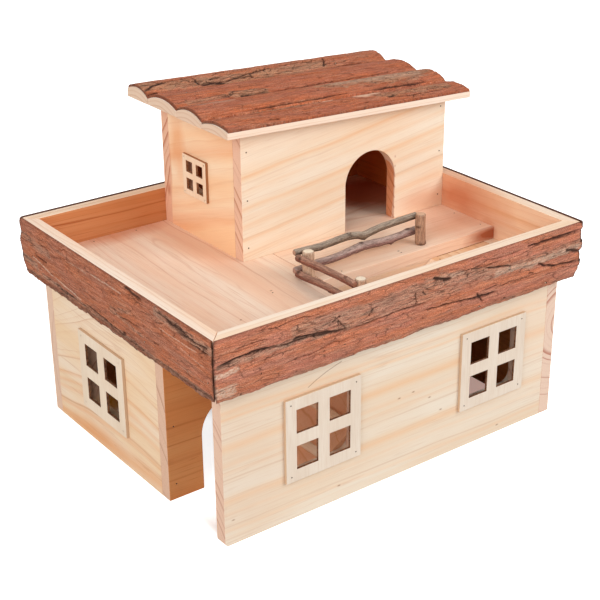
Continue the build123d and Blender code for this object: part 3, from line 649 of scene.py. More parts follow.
@dataclass(frozen=True)
class BarkRelief:
    """How rough a slab's bark is, and the marks on it."""

    seed: int
    marks: tuple[Mark, ...] = ()
    depth: float = 2.0
    scale: float = 0.75
    fine: float = 0.16
    broad: float = 0.35
    stray_cracks: int = 16
    grey: float = 0.25
    foot: float = 0.0
    foot_from: float = 43.0
    brow: float = 0.0
    broken: float = 0.75

    def carve(self, along: Grid, across: Grid, from_end: Grid) -> dict[str, Grid]:
        """Works out the bark's height and the masks that colour it.

        Args:
            along: Distance along the grain of every grid point, in millimetres.
            across: Distance over the grain of every grid point, in millimetres.
            from_end: Distance from the nearer broken end of every grid point, in millimetres.

        Returns:
            The height below the outermost surface, and the masks crack, grey, pale and fresh; the crack mask also
            carries painted shade below the raised steps of plates and flakes.
        """
        noise = Relief(self.seed)

        def wave(length: float, width: float, layers: int = 2, shift: float = 0.0, lift: float = 0.0) -> Grid:
            """Returns noise whose waves have about this length along the grain and this width over it."""
            return noise.layered(along / length + shift, across / width + lift, layers)

        bend_a = along + 6.0 * wave(26, 8)
        bend_c = across + 2.4 * wave(38, 13, shift=5.1)
        plates = noise.layered(bend_a / 46, bend_c / 5.2, 3, 0.55) * 2.3
        level = np.floor(plates)
        rise = soft_step(plates - level, 0.72, 0.98)
        flakes = noise.layered(bend_a / 17 + 40, bend_c / 2.3, 2) * 1.7
        flake_rise = soft_step(flakes - np.floor(flakes), 0.7, 1.0)
        masks = {kind.value: np.zeros(along.shape) for kind in MarkKind}
        chance = np.random.default_rng(self.seed + 1)
        marks = list(self.marks)
        low_a, high_a, low_c, high_c = along.min(), along.max(), across.min(), across.max()
        for _ in range(self.stray_cracks):
            start, length = chance.uniform(low_a, high_a), chance.uniform(10, 60)
            where = chance.uniform(low_c + 2, high_c - 2)
            line = [(start + length * t, where + chance.normal(0, 1.1) + 0.03 * length * t) for t in (0, 0.35, 0.7, 1)]
            marks.append(Mark(MarkKind.CRACK, tuple(line), chance.uniform(0.5, 0.95), chance.uniform(0.3, 0.8)))
        shake_a = along + 1.6 * wave(7, 5, shift=3)
        shake_c = across + 0.9 * wave(9, 6, 3, shift=30)
        for mark in marks:
            distance, share = reach(shake_a, shake_c, mark.line)
            if mark.kind is MarkKind.CRACK:
                taper = np.sqrt(np.clip(np.minimum(share, 1 - share) * 6, 0.0, 1.0)) if len(mark.line) > 1 else 1.0
                value = mark.strength * (1 - soft_step(distance, 0.2 * mark.width, mark.width * 0.9)) * taper
            elif mark.kind is MarkKind.KNOT:
                value = mark.strength * (1 - soft_step(distance, 0.0, mark.width))
            else:
                edge = distance * (1 + 0.7 * wave(11, 3.2, 3))
                value = mark.strength * (1 - soft_step(edge, 0.55 * mark.width, mark.width))
            masks[mark.kind.value] = np.maximum(masks[mark.kind.value], value)
        rough = 0.55 + 0.75 * masks["grey"] + 0.3 * wave(60, 16, shift=9)
        rings = 0.5 * np.sin(9 * masks["knot"]) * masks["knot"]
        height = self.scale * rough * (0.55 * (level + rise) + 0.25 * (np.floor(flakes) + flake_rise))
        height += self.broad * wave(75, 16) + self.fine * wave(10, 0.9)
        height += rings - 0.9 * masks["knot"] ** 3
        ceiling = np.quantile(height, 0.985)
        height = np.clip(height - ceiling, -0.72 * self.depth, 0.0) - self.depth * masks["crack"]
        height = np.maximum(height, -self.depth)
        if self.brow:
            height *= 0.15 + 0.85 * soft_step(across, 0.4, 2.6)
        step, chip = plates - level, flakes - np.floor(flakes)
        # Painted shade: a strip below the raised step of each plate and flake is darkened through the crack mask.
        ledge_shade = (soft_step(step, 0.62, 0.8) - soft_step(step, 0.86, 1.0)) * np.clip(rough - 0.2, 0, 1)
        sliver = (soft_step(chip, 0.62, 0.82) - soft_step(chip, 0.86, 1.0)) * rough
        dark = np.clip(masks["crack"] + 0.5 * ledge_shade + 0.2 * sliver + 0.9 * masks["knot"] ** 4, 0, 1)
        if self.foot:
            low_edge = soft_step(across + 1.6 * wave(14, 9, 3, shift=2), self.foot_from, self.foot_from + 3.5)
            dark = np.maximum(dark, self.foot * low_edge * (0.55 + 0.6 * wave(5, 2, 3)))
            masks["grey"] = np.maximum(masks["grey"], 0.8 * low_edge * soft_step(wave(20, 5, shift=12), -0.2, 0.3))
        if self.brow:
            low_brow = 1.2 + 0.8 * noise.layered(along / 8, across * 0 + 31, 3)
            dark = np.maximum(dark, self.brow * (1 - soft_step(across, 0.2, low_brow)))
        broken = 1 - soft_step(from_end + 0.8 * wave(3, 2.5, lift=60), 0.2, 1.9)
        dark = np.clip(np.maximum(dark, self.broken * broken), 0, 1)
        weather = np.clip(self.grey + 0.5 * wave(48, 3.4, 3, shift=4) + 0.12 * level, 0, 1) * 0.8
        return {
            "height": height,
            "crack": dark,
            "grey": np.clip(np.maximum(weather, masks["grey"] * (0.75 + 0.5 * wave(20, 1.6))), 0, 1),
            "pale": masks["pale"] * (0.25 + 0.75 * soft_step(wave(2.2, 1.1, 3, shift=7), -0.25, 0.15)),
            "fresh": masks["fresh"],
        }


def tube_faces(rows: int, ring: int) -> list[list[int]]:
    """Returns the faces of a closed tube whose points come row by row, with a face over each end."""
    first = np.arange(rows - 1)[:, None] * ring
    here, there = np.arange(ring)[None, :], (np.arange(ring)[None, :] + 1) % ring
    faces = np.stack([first + here, first + there, first + ring + there, first + ring + here], -1)
    return faces.reshape(-1, 4).tolist() + [list(range(ring))[::-1], list(range((rows - 1) * ring, rows * ring))]


def note_masks(mesh: Mesh, masks: Mapping[str, Grid], grain: Grid) -> None:
    """Keeps masks and grain coordinates on a mesh's points, where the finish reads them."""
    for name, values in masks.items():
        mesh.attributes.new(name, "FLOAT", "POINT").data.foreach_set("value", values.ravel())
    mesh.attributes.new("grain", "FLOAT_VECTOR", "POINT").data.foreach_set("vector", grain.ravel())


def finish_mesh(name: str, mesh: Mesh, material: Material, smooth: bool = True) -> Piece:
    """Turns a closed mesh's faces outwards, smooths its shading and links it as an object.

    Args:
        name: Name of the object.
        mesh: The mesh, in metres of the part's frame.
        material: Its finish.
        smooth: Whether neighbouring faces shade smoothly.

    Returns:
        The object, at the origin.
    """
    work = bmesh.new()
    work.from_mesh(mesh)
    bmesh.ops.recalc_face_normals(work, faces=work.faces)
    for face in work.faces:
        face.smooth = smooth and len(face.verts) == 4
    work.to_mesh(mesh)
    work.free()
    mesh.materials.clear()
    mesh.materials.append(material)
    return link_object(name, mesh)


@dataclass(frozen=True)
class BarkFinish(Finish):
    """Dry bark, coloured by the masks on its mesh."""

    red: Colour = srgb(0xD88E76)
    orange: Colour = srgb(0xE28E6A)
    brown: Colour = srgb(0xB4705A)
    grey: Colour = srgb(0xD0B098)
    pale: Colour = srgb(0xEAD0B8)
    sliver: Colour = srgb(0xE2B092)
    fresh: Colour = srgb(0xF2C4A6)
    hair: Colour = srgb(0x542A1C)
    dark: Colour = srgb(0x2E1811)

    def paint(self, net: Graph) -> None:
        """Fills the material."""
        masks = {name: net.add("ShaderNodeAttribute", attribute_name=name).outputs["Fac"] for name in MASKS}
        grain = net.add("ShaderNodeAttribute", attribute_name="grain").outputs["Vector"]
        skin = BARK_SKIN.place(net, Vector=grain)
        colour = net.mix(skin["Blotch"], self.red, self.orange)
        grey = net.times(masks["grey"], net.remap(skin["Flake"], 0.25, 0.6, 0.35, 1.0))
        crumbled = net.times(skin["Crumble"], net.remap(masks["grey"], 0.1, 0.5, 0.55, 1.0))
        colour = net.cover(colour, (skin["Streak"], 0.6, self.brown), (grey, 0.85, self.grey),
                           (skin["Fleck"], 0.42, self.pale), (skin["Light"], 0.4, self.sliver),
                           (skin["Hair"], 0.35, self.hair), (crumbled, 1.0, self.dark))
        shades = ((0.0, srgb(0x705A52)), (0.3, srgb(0xCEC2BC)), (0.6, srgb(0xF2EEEC)), (1.0, srgb(0xFFFFFF)))
        shade = net.ramp(net.remap(skin["Grit"], 0.34, 0.64, smooth=False), shades)
        colour = net.tint(colour, shade)
        # The crack mask darkens cracks, knots, edges and broken ends, and paints shade below the bark's raised steps.
        colour = net.cover(colour, (masks["fresh"], 1.0, self.fresh), (masks["pale"], 0.85, self.pale),
                           (masks["crack"], 0.92, self.dark))
        rough = net.remap(skin["Flake"], 0.2, 0.8, 0.78, 0.95)
        net.skin(colour, rough, Normal=net.bump(skin["Height"], 0.75, 0.0005))


def _bark_skin(net: Graph, given: Sockets) -> Sockets:
    """Blotches, streaks, hairline cracks and grit of bark; the vector is millimetres along and over the grain."""
    place = given["Vector"]
    bent = net.vector("ADD", place, net.warped(place, (0.06, 0.25, 1.0), (6.0, 3.0, 0.0)))
    blotch = net.remap(net.drawn(bent, (0.02, 0.08, 1.0), 3.0), 0.38, 0.62)
    streak = net.remap(net.drawn(bent, (0.07, 0.42, 1.0), 5.0, 0.72), 0.45, 0.66)
    flake = net.drawn(bent, (0.16, 1.0, 1.0), 3.0, 0.65)
    pit = net.remap(net.drawn(place, (0.5, 0.8, 1.0), 2.0, 0.6), 0.66, 0.72)
    fleck = net.remap(net.drawn(place, (0.7, 1.3, 1.0), 3.0, 0.65), 0.56, 0.7)
    fibre = net.drawn(bent, (0.34, 1.5, 1.0), 4.0, 0.7)
    grit = net.drawn(place, (0.9, 1.6, 1.0), 4.0, 0.75)
    long_lines = net.drawn(bent, (0.02, 0.33, 1.0), 3.0, 0.55)
    short_lines = net.drawn(bent, (0.07, 0.55, 1.0), 3.0, 0.6)
    hair_long = net.near(long_lines, 0.52, 0.07)
    hair_short = net.near(short_lines, 0.44, 0.07)
    light_long = net.near(long_lines, 0.62, 0.045)
    light_short = net.near(short_lines, 0.6, 0.05)
    worn = net.remap(grit, 0.35, 0.6, 0.2, 1.0)
    jagged = net.vector("ADD", bent, net.warped(place, (0.5, 0.9, 1.0), (3.0, 1.4, 0.0)))
    plates = net.add("ShaderNodeTexVoronoi", {"Vector": net.scaled(jagged, (0.06, 0.28, 1.0)), "Scale": 1.0},
                     feature="DISTANCE_TO_EDGE", voronoi_dimensions="2D").outputs["Distance"]
    broken = net.remap(net.drawn(place, (0.04, 0.2, 1.0), 3.0, 0.6), 0.44, 0.6)
    crumble = net.times(net.remap(plates, 0.012, 0.075, 1.0, 0.0), net.times(broken, worn))
    crumble = net.most(crumble, net.times(pit, 0.8))
    hair = net.times(net.most(hair_long, net.times(hair_short, 0.7)), worn)
    light = net.times(net.most(light_long, light_short), worn)
    height = net.times_plus(fibre, 0.6, net.times_plus(flake, 0.6, grit))
    height = net.times_plus(light, 0.3, net.times_plus(hair, -0.9, height))
    height = net.times_plus(crumble, -1.4, height)
    return {"Blotch": blotch, "Streak": streak, "Flake": flake, "Fleck": fleck, "Hair": hair, "Light": light,
            "Grit": grit, "Crumble": crumble, "Height": height}


BARK_SKIN = ShaderGroup(
    "bark_skin", {"Vector": ZERO},
    ("Blotch", "Streak", "Flake", "Fleck", "Hair", "Light", "Grit", "Crumble", "Height"), _bark_skin)


# ---------------- half-log slabs
class Side(Enum):
    """A side of the terrace, as the outward direction of its rim slab."""

    FRONT = (0, -1)
    BACK = (0, 1)
    LEFT = (-1, 0)
    RIGHT = (1, 0)


MASKS = ("crack", "grey", "pale", "fresh")


@dataclass
class HalfLogBark:
    """The bark of a half-log slab: a closed skin over its round side, with broken ends."""

    relief: BarkRelief
    pitch_along: ClassVar[float] = 0.9
    pitch_across: ClassVar[float] = 0.5

    def build(self, material: Material) -> Piece:
        """Returns the bark, riding in place of its plain node."""
        section = np.array(self.outer())
        steps = np.hypot(*np.diff(section, axis=0).T)
        travelled = np.concatenate([[0.0], np.cumsum(steps)])
        count = max(8, round(travelled[-1] / self.pitch_across))
        arc = np.linspace(0.0, travelled[-1], count + 1)
        depth, rise = (np.interp(arc, travelled, section[:, column]) for column in (0, 1))
        start, end = self.ends(depth, arc)
        stations = max(8, round(float((end - start).max()) / self.pitch_along))
        share = np.linspace(0.0, 1.0, stations + 1)[:, None]
        along = start + share * (end - start)
        across = np.broadcast_to(self.across(depth, rise), along.shape)
        marks = tuple(replace(m, line=tuple(self.seen(*p) for p in m.line)) for m in self.relief.marks)
        carved = replace(self.relief, marks=marks).carve(along, across, np.minimum(share, 1 - share) * (end - start))
        slope_d, slope_r = np.gradient(depth, arc), np.gradient(rise, arc)
        length = np.hypot(slope_d, slope_r)
        normal_d, normal_r = -slope_r / length, slope_d / length
        if np.mean(normal_d * (depth - depth.mean()) + normal_r * (rise - rise.mean())) < 0:
            normal_d, normal_r = -normal_d, -normal_r
        height = carved["height"] * (0.15 + 0.85 * soft_step(np.minimum(arc, arc[-1] - arc), 0.0, 1.6))
        points = self.place(along, depth + height * normal_d, rise + height * normal_r)
        inner = np.array(self.inner())
        inner_start, inner_end = self.ends(inner[:, 0], np.full(len(inner), arc[-1] / 2))
        inner_along = inner_start + share * (inner_end - inner_start)
        inner_points = self.place(inner_along, *(np.broadcast_to(inner[:, k], inner_along.shape) for k in (0, 1)))
        ring = count + 1 + len(inner)
        mesh = bpy.data.meshes.new(self.name)
        mesh.from_pydata((np.concatenate([points, inner_points], axis=1).reshape(-1, 3) * MM).tolist(), [],
                         tube_faces(stations + 1, ring))

        def spread(values: Grid) -> Grid:
            """Returns values of the outer skin, carried over to the points of the inner one."""
            return np.pad(values, ((0, 0), (0, len(inner))), mode="edge")

        grain = np.stack([spread(along), spread(across), np.full((stations + 1, ring), float(self.relief.seed))], -1)
        note_masks(mesh, {mask: spread(carved[mask]) for mask in MASKS}, grain)
        return hand_over(finish_mesh(self.name, mesh, material), self.node)


@dataclass
class RimBark(HalfLogBark):
    """The bark of one mitred rim slab."""

    side: Side
    wane: float = 1.3
    ragged_ends: float = 0.0
    ragged_far: float = 0.3
    stand: float = 0.0
    wood: float = 10.7
    bark: float = 2.3
    bulge: float = 0.8
    foot_taper: float = 1.2
    mitre_gap: float = 0.9
    lip: float = 2.6

    def __post_init__(self) -> None:
        """Works out the slab's names and directions."""
        self.name, self.node = f"bark_of_rim_{self.side.name.lower()}", f"rim_bark_{self.side.name.lower()}"
        self.outward = np.array(self.side.value, float)
        self.along = np.array([self.outward[1], -self.outward[0]])
        self.length = HOUSE[0] if self.outward[0] == 0 else HOUSE[1]
        self.middle = np.array(HOUSE) / 2 + self.outward * np.array(HOUSE) / 2

    def round_face(self, offset: float, count: int) -> Profile:
        """Returns points down the swelling outer face, moved out by offset."""
        drop, depth = RIM_TOP - RIM_FOOT, self.wood + offset
        points = []
        for n in range(count):
            t = n / (count - 1)
            swell = self.bulge * (1 - ((t - 0.45) / (0.45 if t < 0.45 else 0.55)) ** 2)
            points.append((depth + swell - (self.foot_taper * max(0.0, (t - 0.45) / 0.55) ** 2), RIM_TOP - t * drop))
        return points

    def outer(self) -> Profile:
        """Returns the section's outer line, from the wood's top edge down and round the lower lip."""
        face = self.round_face(self.bark, 24)
        (top, _), (foot, _) = face[0], face[-1]
        shoulder = [(self.wood, RIM_TOP), (top - 1.5, RIM_TOP), (top - 0.4, RIM_TOP - 0.5)]
        if self.stand:
            high = RIM_TOP + self.stand
            shoulder = [(self.wood, RIM_TOP), (self.wood + 0.3, high), (top - 0.5, high), (top - 0.1, RIM_TOP - 0.2)]
        low = RIM_FOOT - self.lip
        return shoulder + face[1:] + [(foot - 0.2, low + 0.6), (foot - 0.9, low), (foot - self.bark, low + 0.4)]

    def inner(self) -> Profile:
        """Returns the section's inner line, back up along the wood."""
        return self.round_face(0.0, 7)[::-1][:-1]

    def ends(self, depth: Grid, arc: Grid) -> tuple[Grid, Grid]:
        """Returns where the bark starts and ends along the slab, for points of the section."""
        half = self.length / 2 - self.mitre_gap + depth
        corner = (Side.FRONT, Side.RIGHT, Side.BACK, Side.LEFT).index(self.side)

        def chipped(number: int, amount: float) -> Grid:
            """Returns how much is broken off at one corner, alike for the two slabs that meet there."""
            noise = Relief(400 + number)
            return amount * np.clip(0.45 + 1.9 * noise.layered(arc / 9, arc * 0 + 8, 3), 0.0, 1.0)

        return -half + chipped(corner, self.ragged_ends), half - chipped((corner - 1) % 4, self.ragged_far)

    def place(self, along: Grid, depth: Grid, rise: Grid) -> Grid:
        """Returns the part-frame points of section coordinates."""
        noise = Relief(self.relief.seed + 90)
        edge = soft_step(RIM_FOOT + 1.5 - rise, 0.0, 3.0)
        wane = self.wane * (noise.layered(along / 34, along * 0, 3) + 0.5 * noise.layered(along / 7, along * 0 + 5, 3))
        x, y = (self.middle[k] + self.outward[k] * depth + self.along[k] * along for k in (0, 1))
        return to_part(x, y, rise + edge * np.clip(wane, -1.2, 3.4))

    def across(self, depth: Grid, rise: Grid) -> Grid:
        """Returns the distance over the grain, down from the top edge."""
        return RIM_TOP - rise - (depth < self.wood + 0.8) * (rise > RIM_TOP - 0.1) * (self.wood + self.bark - depth)

    def seen(self, where: float, height: float) -> Spot:
        """Returns grain coordinates of a place on the face, from its distance along the wall and its height."""
        return self.along[0 if self.outward[0] == 0 else 1] * (where - self.length / 2), RIM_TOP - height


@dataclass
class RoofBark(HalfLogBark):
    """The bark of one roof slab, on the tilted plane of the roof; front to length are millimetres on that plane."""

    number: int
    front: float
    back: float
    front_edge: float
    crown: float
    back_edge: float
    length: float
    bark: float = 2.6
    fall: float = math.radians(2.64)
    corner: Point = (105.1, 139.4, 268.0)
    left_ragged: float = 1.2
    right_ragged: float = 3.0

    def __post_init__(self) -> None:
        """Works out the slab's names."""
        self.name, self.node = f"bark_of_roof_{self.number}", f"roof_bark_{self.number}"

    def arc(self, offset: float, count: int) -> Profile:
        """Returns points over the slab's round side, from the front seam to the back one, moved up by offset."""
        a, b, c = self.front_edge, self.crown, self.back_edge
        points = []
        for n in range(count):
            t = n / (count - 1)
            height = a + (c - a) * t + 4 * t * (1 - t) * (b - (a + c) / 2) + offset
            points.append((self.front + (self.back - self.front) * t, height))
        return points

    def outer(self) -> Profile:
        """Returns the section's outer line."""
        top, (low_front, low_back) = self.arc(0.0, 26), self.arc(-self.bark, 2)
        (a, front), (b, back) = top[0], top[-1]
        return [low_front, (a, front - 0.9), (a + 0.5, front + 0.1), *top[1:-1], (b - 0.5, back + 0.1),
                (b, back - 0.9), low_back]

    def inner(self) -> Profile:
        """Returns the section's inner line, back along the wood."""
        return self.arc(-self.bark, 9)[::-1][1:-1]

    def ends(self, _: Grid, arc: Grid) -> tuple[Grid, Grid]:
        """Returns where the bark starts and ends along the slab, for points of the section."""
        noise = Relief(self.relief.seed + 50)
        low = self.left_ragged * (0.5 + 0.5 * noise.layered(arc / 8, arc * 0 + 3, 3))
        high = self.right_ragged * (0.5 + 0.5 * noise.layered(arc / 11, arc * 0 + 8, 3))
        return low, self.length - high

    def place(self, along: Grid, depth: Grid, rise: Grid) -> Grid:
        """Returns the part-frame points of section coordinates."""
        x = self.corner[0] + along * math.cos(self.fall) + rise * math.sin(self.fall)
        z = self.corner[2] - along * math.sin(self.fall) + rise * math.cos(self.fall)
        return to_part(x, self.corner[1] + depth, z)

    def across(self, depth: Grid, _: Grid) -> Grid:
        """Returns the distance over the grain."""
        return depth

    def seen(self, x: float, y: float) -> Spot:
        """Returns grain coordinates of a place on the roof."""
        return x - self.corner[0], y - self.corner[1]


GREY, PALE, FRESH, KNOT = MarkKind.GREY, MarkKind.PALE, MarkKind.FRESH, MarkKind.KNOT

RIM_BARKS = (
    RimBark(side=Side.FRONT, relief=BarkRelief(11, (
        crack(1.6, -10, 163.6, 5, 166, 22, 167, 44, 165), crack(2, 57, 165.5, 62, 166, 85, 163, 106.5, 159),
        crack(1.3, 44, 164, 60, 164, 80, 162.2, 106, 158.8), crack(0.9, 97, 171, 106.5, 159, strength=0.7),
        crack(1, 108, 158.5, 135, 159, 160, 160, 176, 159.3, 186, 158.6, strength=0.8),
        crack(1.1, 174, 170.5, 176, 164, 175, 159.5), crack(1.8, 193, 178, 200, 175, 211, 172.6),
        crack(2.4, 203, 173.5, 212, 172.4), crack(1.3, 249, 171.5, 262, 169, 279, 165.8),
        crack(1.5, 296, 178.3, 308, 177.6, 334, 178, 358, 177.6),
        crack(1.7, 310, 159.6, 318, 155.5, 332, 151.5, 360, 149.4), crack(2.4, 342, 163, 362, 157.5),
        crack(1.2, 184, 152.6, 202, 151.4, 229, 149, 241, 146.5), crack(2, 236, 147.5, 262, 146.4),
        crack(1.4, 241, 152, 249, 141.5), crack(1.3, 93, 169, 101, 172.4), crack(1, 128, 164, 133, 169.6),
        crack(1.2, 84.6, 147.2, 86.6, 146.6), crack(1.3, 273.5, 137, 275.5, 136.8), crack(1.4, 353, 177, 354, 177),
        crack(1, 300, 153, 306, 151.5), patch(KNOT, 6, 245, 147), patch(GREY, 3.2, -8, 163.5, 60, 164.5, 108, 161),
        patch(GREY, 7.5, 60, 172, 140, 170, 200, 174, 260, 166, strength=0.9),
        patch(GREY, 5, 100, 163, 220, 163, strength=0.7),
        patch(PALE, 3.2, 262, 163.6, 300, 161.5, 358, 163, strength=0.5),
        patch(GREY, 6, 250, 166, 300, 163, 358, 165, strength=0.9),
        patch(PALE, 6.5, -12, 143, -4, 142, 2, 141, strength=0.8),
        patch(PALE, 2.6, -12, 157, -4, 156.5, 6, 158, strength=0.8),
        patch(PALE, 2, 212, 175, 224, 174.6, strength=0.4),
    ), grey=0.16, foot=0.5, foot_from=45.5, brow=0.3), wane=1.6, ragged_ends=2.9, ragged_far=0.5),
    RimBark(side=Side.LEFT, relief=BarkRelief(23, (
        crack(1.7, 112, 184, 98, 183, 84, 181.6), crack(1.3, 104, 181.5, 88, 180.6),
        crack(1.5, 62, 181, 40, 177.5, 18, 177), crack(1.4, 36, 175.4, 8, 175.6, -6, 177),
        crack(1.2, 50, 179.6, 26, 178.6), crack(1.1, 20, 172.6, -8, 173.2), crack(1.5, 56.4, 166.6, 54, 166.4),
        crack(1.4, 2, 168, 0, 168), crack(1.5, 7.6, 143.2, 6.6, 143.4), crack(1.5, 1, 146, 0.4, 146.4),
        crack(1.7, -6.4, 138.4, -7.4, 138.8), crack(1.6, -4.8, 136.6, -6.4, 136.2), crack(1.5, 118, 142, 112, 141.6),
        crack(1.6, 240, 158, 262, 158.6, strength=0.8),
        crack(1.7, 178, 144, 150, 141.8, 112, 138.6, 84, 137.4, strength=0.9),
        crack(1.3, 240, 142.4, 200, 141.6, 170, 139.6, strength=0.8),
        crack(1.4, 70, 137.8, 40, 136.6, 10, 136.4, strength=0.7),
        patch(PALE, 0.8, 265, 156, 235, 150, 184, 145.2, strength=0.8),
        patch(PALE, 0.7, 162, 175.6, 114, 175.8, strength=0.7), patch(PALE, 0.6, 200, 173, 170, 173.6, strength=0.5),
        patch(PALE, 0.6, 58, 168.6, 8, 168.6, strength=0.6), patch(PALE, 0.6, 30, 164, -2, 160.5, strength=0.4),
        patch(GREY, 4.6, 64, 180, 20, 176.5, -10, 176), patch(GREY, 5, 290, 150, 262, 148),
        patch(GREY, 4, 286, 171, 235, 167, strength=0.7),
        patch(GREY, 2.6, 250, 143, 150, 140, 60, 138, -8, 137.6, strength=0.9),
        patch(GREY, 2.4, 102, 165, 133, 156, 86, 150.5, strength=0.7),
    ), grey=0.1, scale=0.6, stray_cracks=10, foot=0.9, brow=0.35), wane=3.2, ragged_ends=0.4, ragged_far=2.4),
    RimBark(side=Side.RIGHT, relief=BarkRelief(37, grey=0.2, stray_cracks=26, foot=0.7, brow=0.9), ragged_far=2.9,
        stand=0.8),
    RimBark(side=Side.BACK, relief=BarkRelief(41, (patch(KNOT, 7, 120, 160),), grey=0.2, stray_cracks=30,
        foot=0.7, brow=0.9), ragged_ends=2, stand=0.8),
)

ROOF_BARKS = (
    RoofBark(number=1, front=125, back=158.2, front_edge=7.6, crown=13.6, back_edge=9.6, length=270.2,
        relief=BarkRelief(61, (
        crack(2.2, 106, 270, 118, 277, 135, 281, 160, 281.6), crack(1.8, 161, 282, 161, 268),
        crack(2.4, 162, 267.6, 178, 268.6, 190, 264.6), crack(1.6, 190, 268, 212, 272.6, 240, 277, 254, 275.6),
        crack(1.5, 254, 279, 300, 280.6), crack(1.5, 300, 268, 306, 276, 309, 284), crack(2.6, 106, 265, 118, 266),
        crack(1.4, 300, 264.5, 345, 265.6), patch(GREY, 8, 110, 276, 200, 270, 300, 272),
    ), grey=0.34, scale=0.9, broken=0.55)),
    RoofBark(number=2, front=78.1, back=124.6, front_edge=7.9, crown=13, back_edge=7.6, length=269.8,
        relief=BarkRelief(67, (
        crack(3, 172, 220.5, 186, 219.6, 204, 220, strength=0.9), crack(1.2, 205, 219.6, 345, 221.4),
        patch(GREY, 6, 168, 224, 200, 221), patch(GREY, 3, 220, 255, 330, 258, strength=0.7),
        patch(GREY, 3.5, 120, 222, 165, 224, strength=0.7),
    ), grey=0.06, scale=0.45, stray_cracks=8, broken=0.55)),
    RoofBark(number=3, front=39.6, back=77.7, front_edge=7.6, crown=12.8, back_edge=8.2, length=270.4,
        relief=BarkRelief(71, (
        crack(1.3, 150, 181, 230, 181.5, 262, 183), crack(1.8, 288, 181, 352, 180.4),
        patch(PALE, 4, 122, 205, 152, 203, strength=0.35), patch(GREY, 15, 250, 206, 340, 197, 362, 204),
        patch(PALE, 11, 262, 206, 310, 203, 350, 200, strength=0.4), patch(GREY, 6, 108, 214, 140, 212, strength=0.8),
    ), grey=0.1, scale=0.5, stray_cracks=8, broken=0.55)),
    RoofBark(number=4, front=0.2, back=39.2, front_edge=8.4, crown=10.6, back_edge=6.2, length=264.6,
        relief=BarkRelief(79, (
        patch(GREY, 5.5, 106, 178, 160, 176, 216, 172),
        patch(PALE, 2.8, 108, 180, 150, 178, 205, 175.5, strength=0.75), crack(2.4, 106, 167, 150, 166.6, 204, 168),
        crack(2.6, 200, 175, 250, 176, 300, 178, 350, 179), crack(2.4, 222, 168, 262, 176, 262, 180),
        crack(2.2, 118, 178, 131, 180), crack(1.8, 200, 172, 215, 170, 262, 174), crack(1.6, 262, 168, 270, 164),
        crack(2.2, 292, 166, 304, 162, 330, 164), crack(2.2, 280, 151, 300, 147, 345, 148),
        crack(2, 232, 158, 246, 155), crack(1.8, 150, 146, 160, 144), crack(1.5, 184, 147, 190, 144),
        patch(FRESH, 8, 263, 167, 277, 170), patch(FRESH, 2.2, 226, 170.6, 236, 172, strength=0.9),
        patch(FRESH, 2, 121, 178.5, 126, 178.5, strength=0.9), patch(GREY, 9, 280, 158, 350, 156, strength=0.9),
        patch(KNOT, 6, 348, 153),
    ), grey=0.1, scale=0.8, brow=0.45, broken=0.55)),
)

# ---------------- twigs
@dataclass(frozen=True)
class Knot:
    """A swelling on a twig, with a broken side branch where stub is more than 0."""

    share: float
    angle: float
    size: float = 1.0
    stub: float = 0.0
    stub_radius: float = 1.3


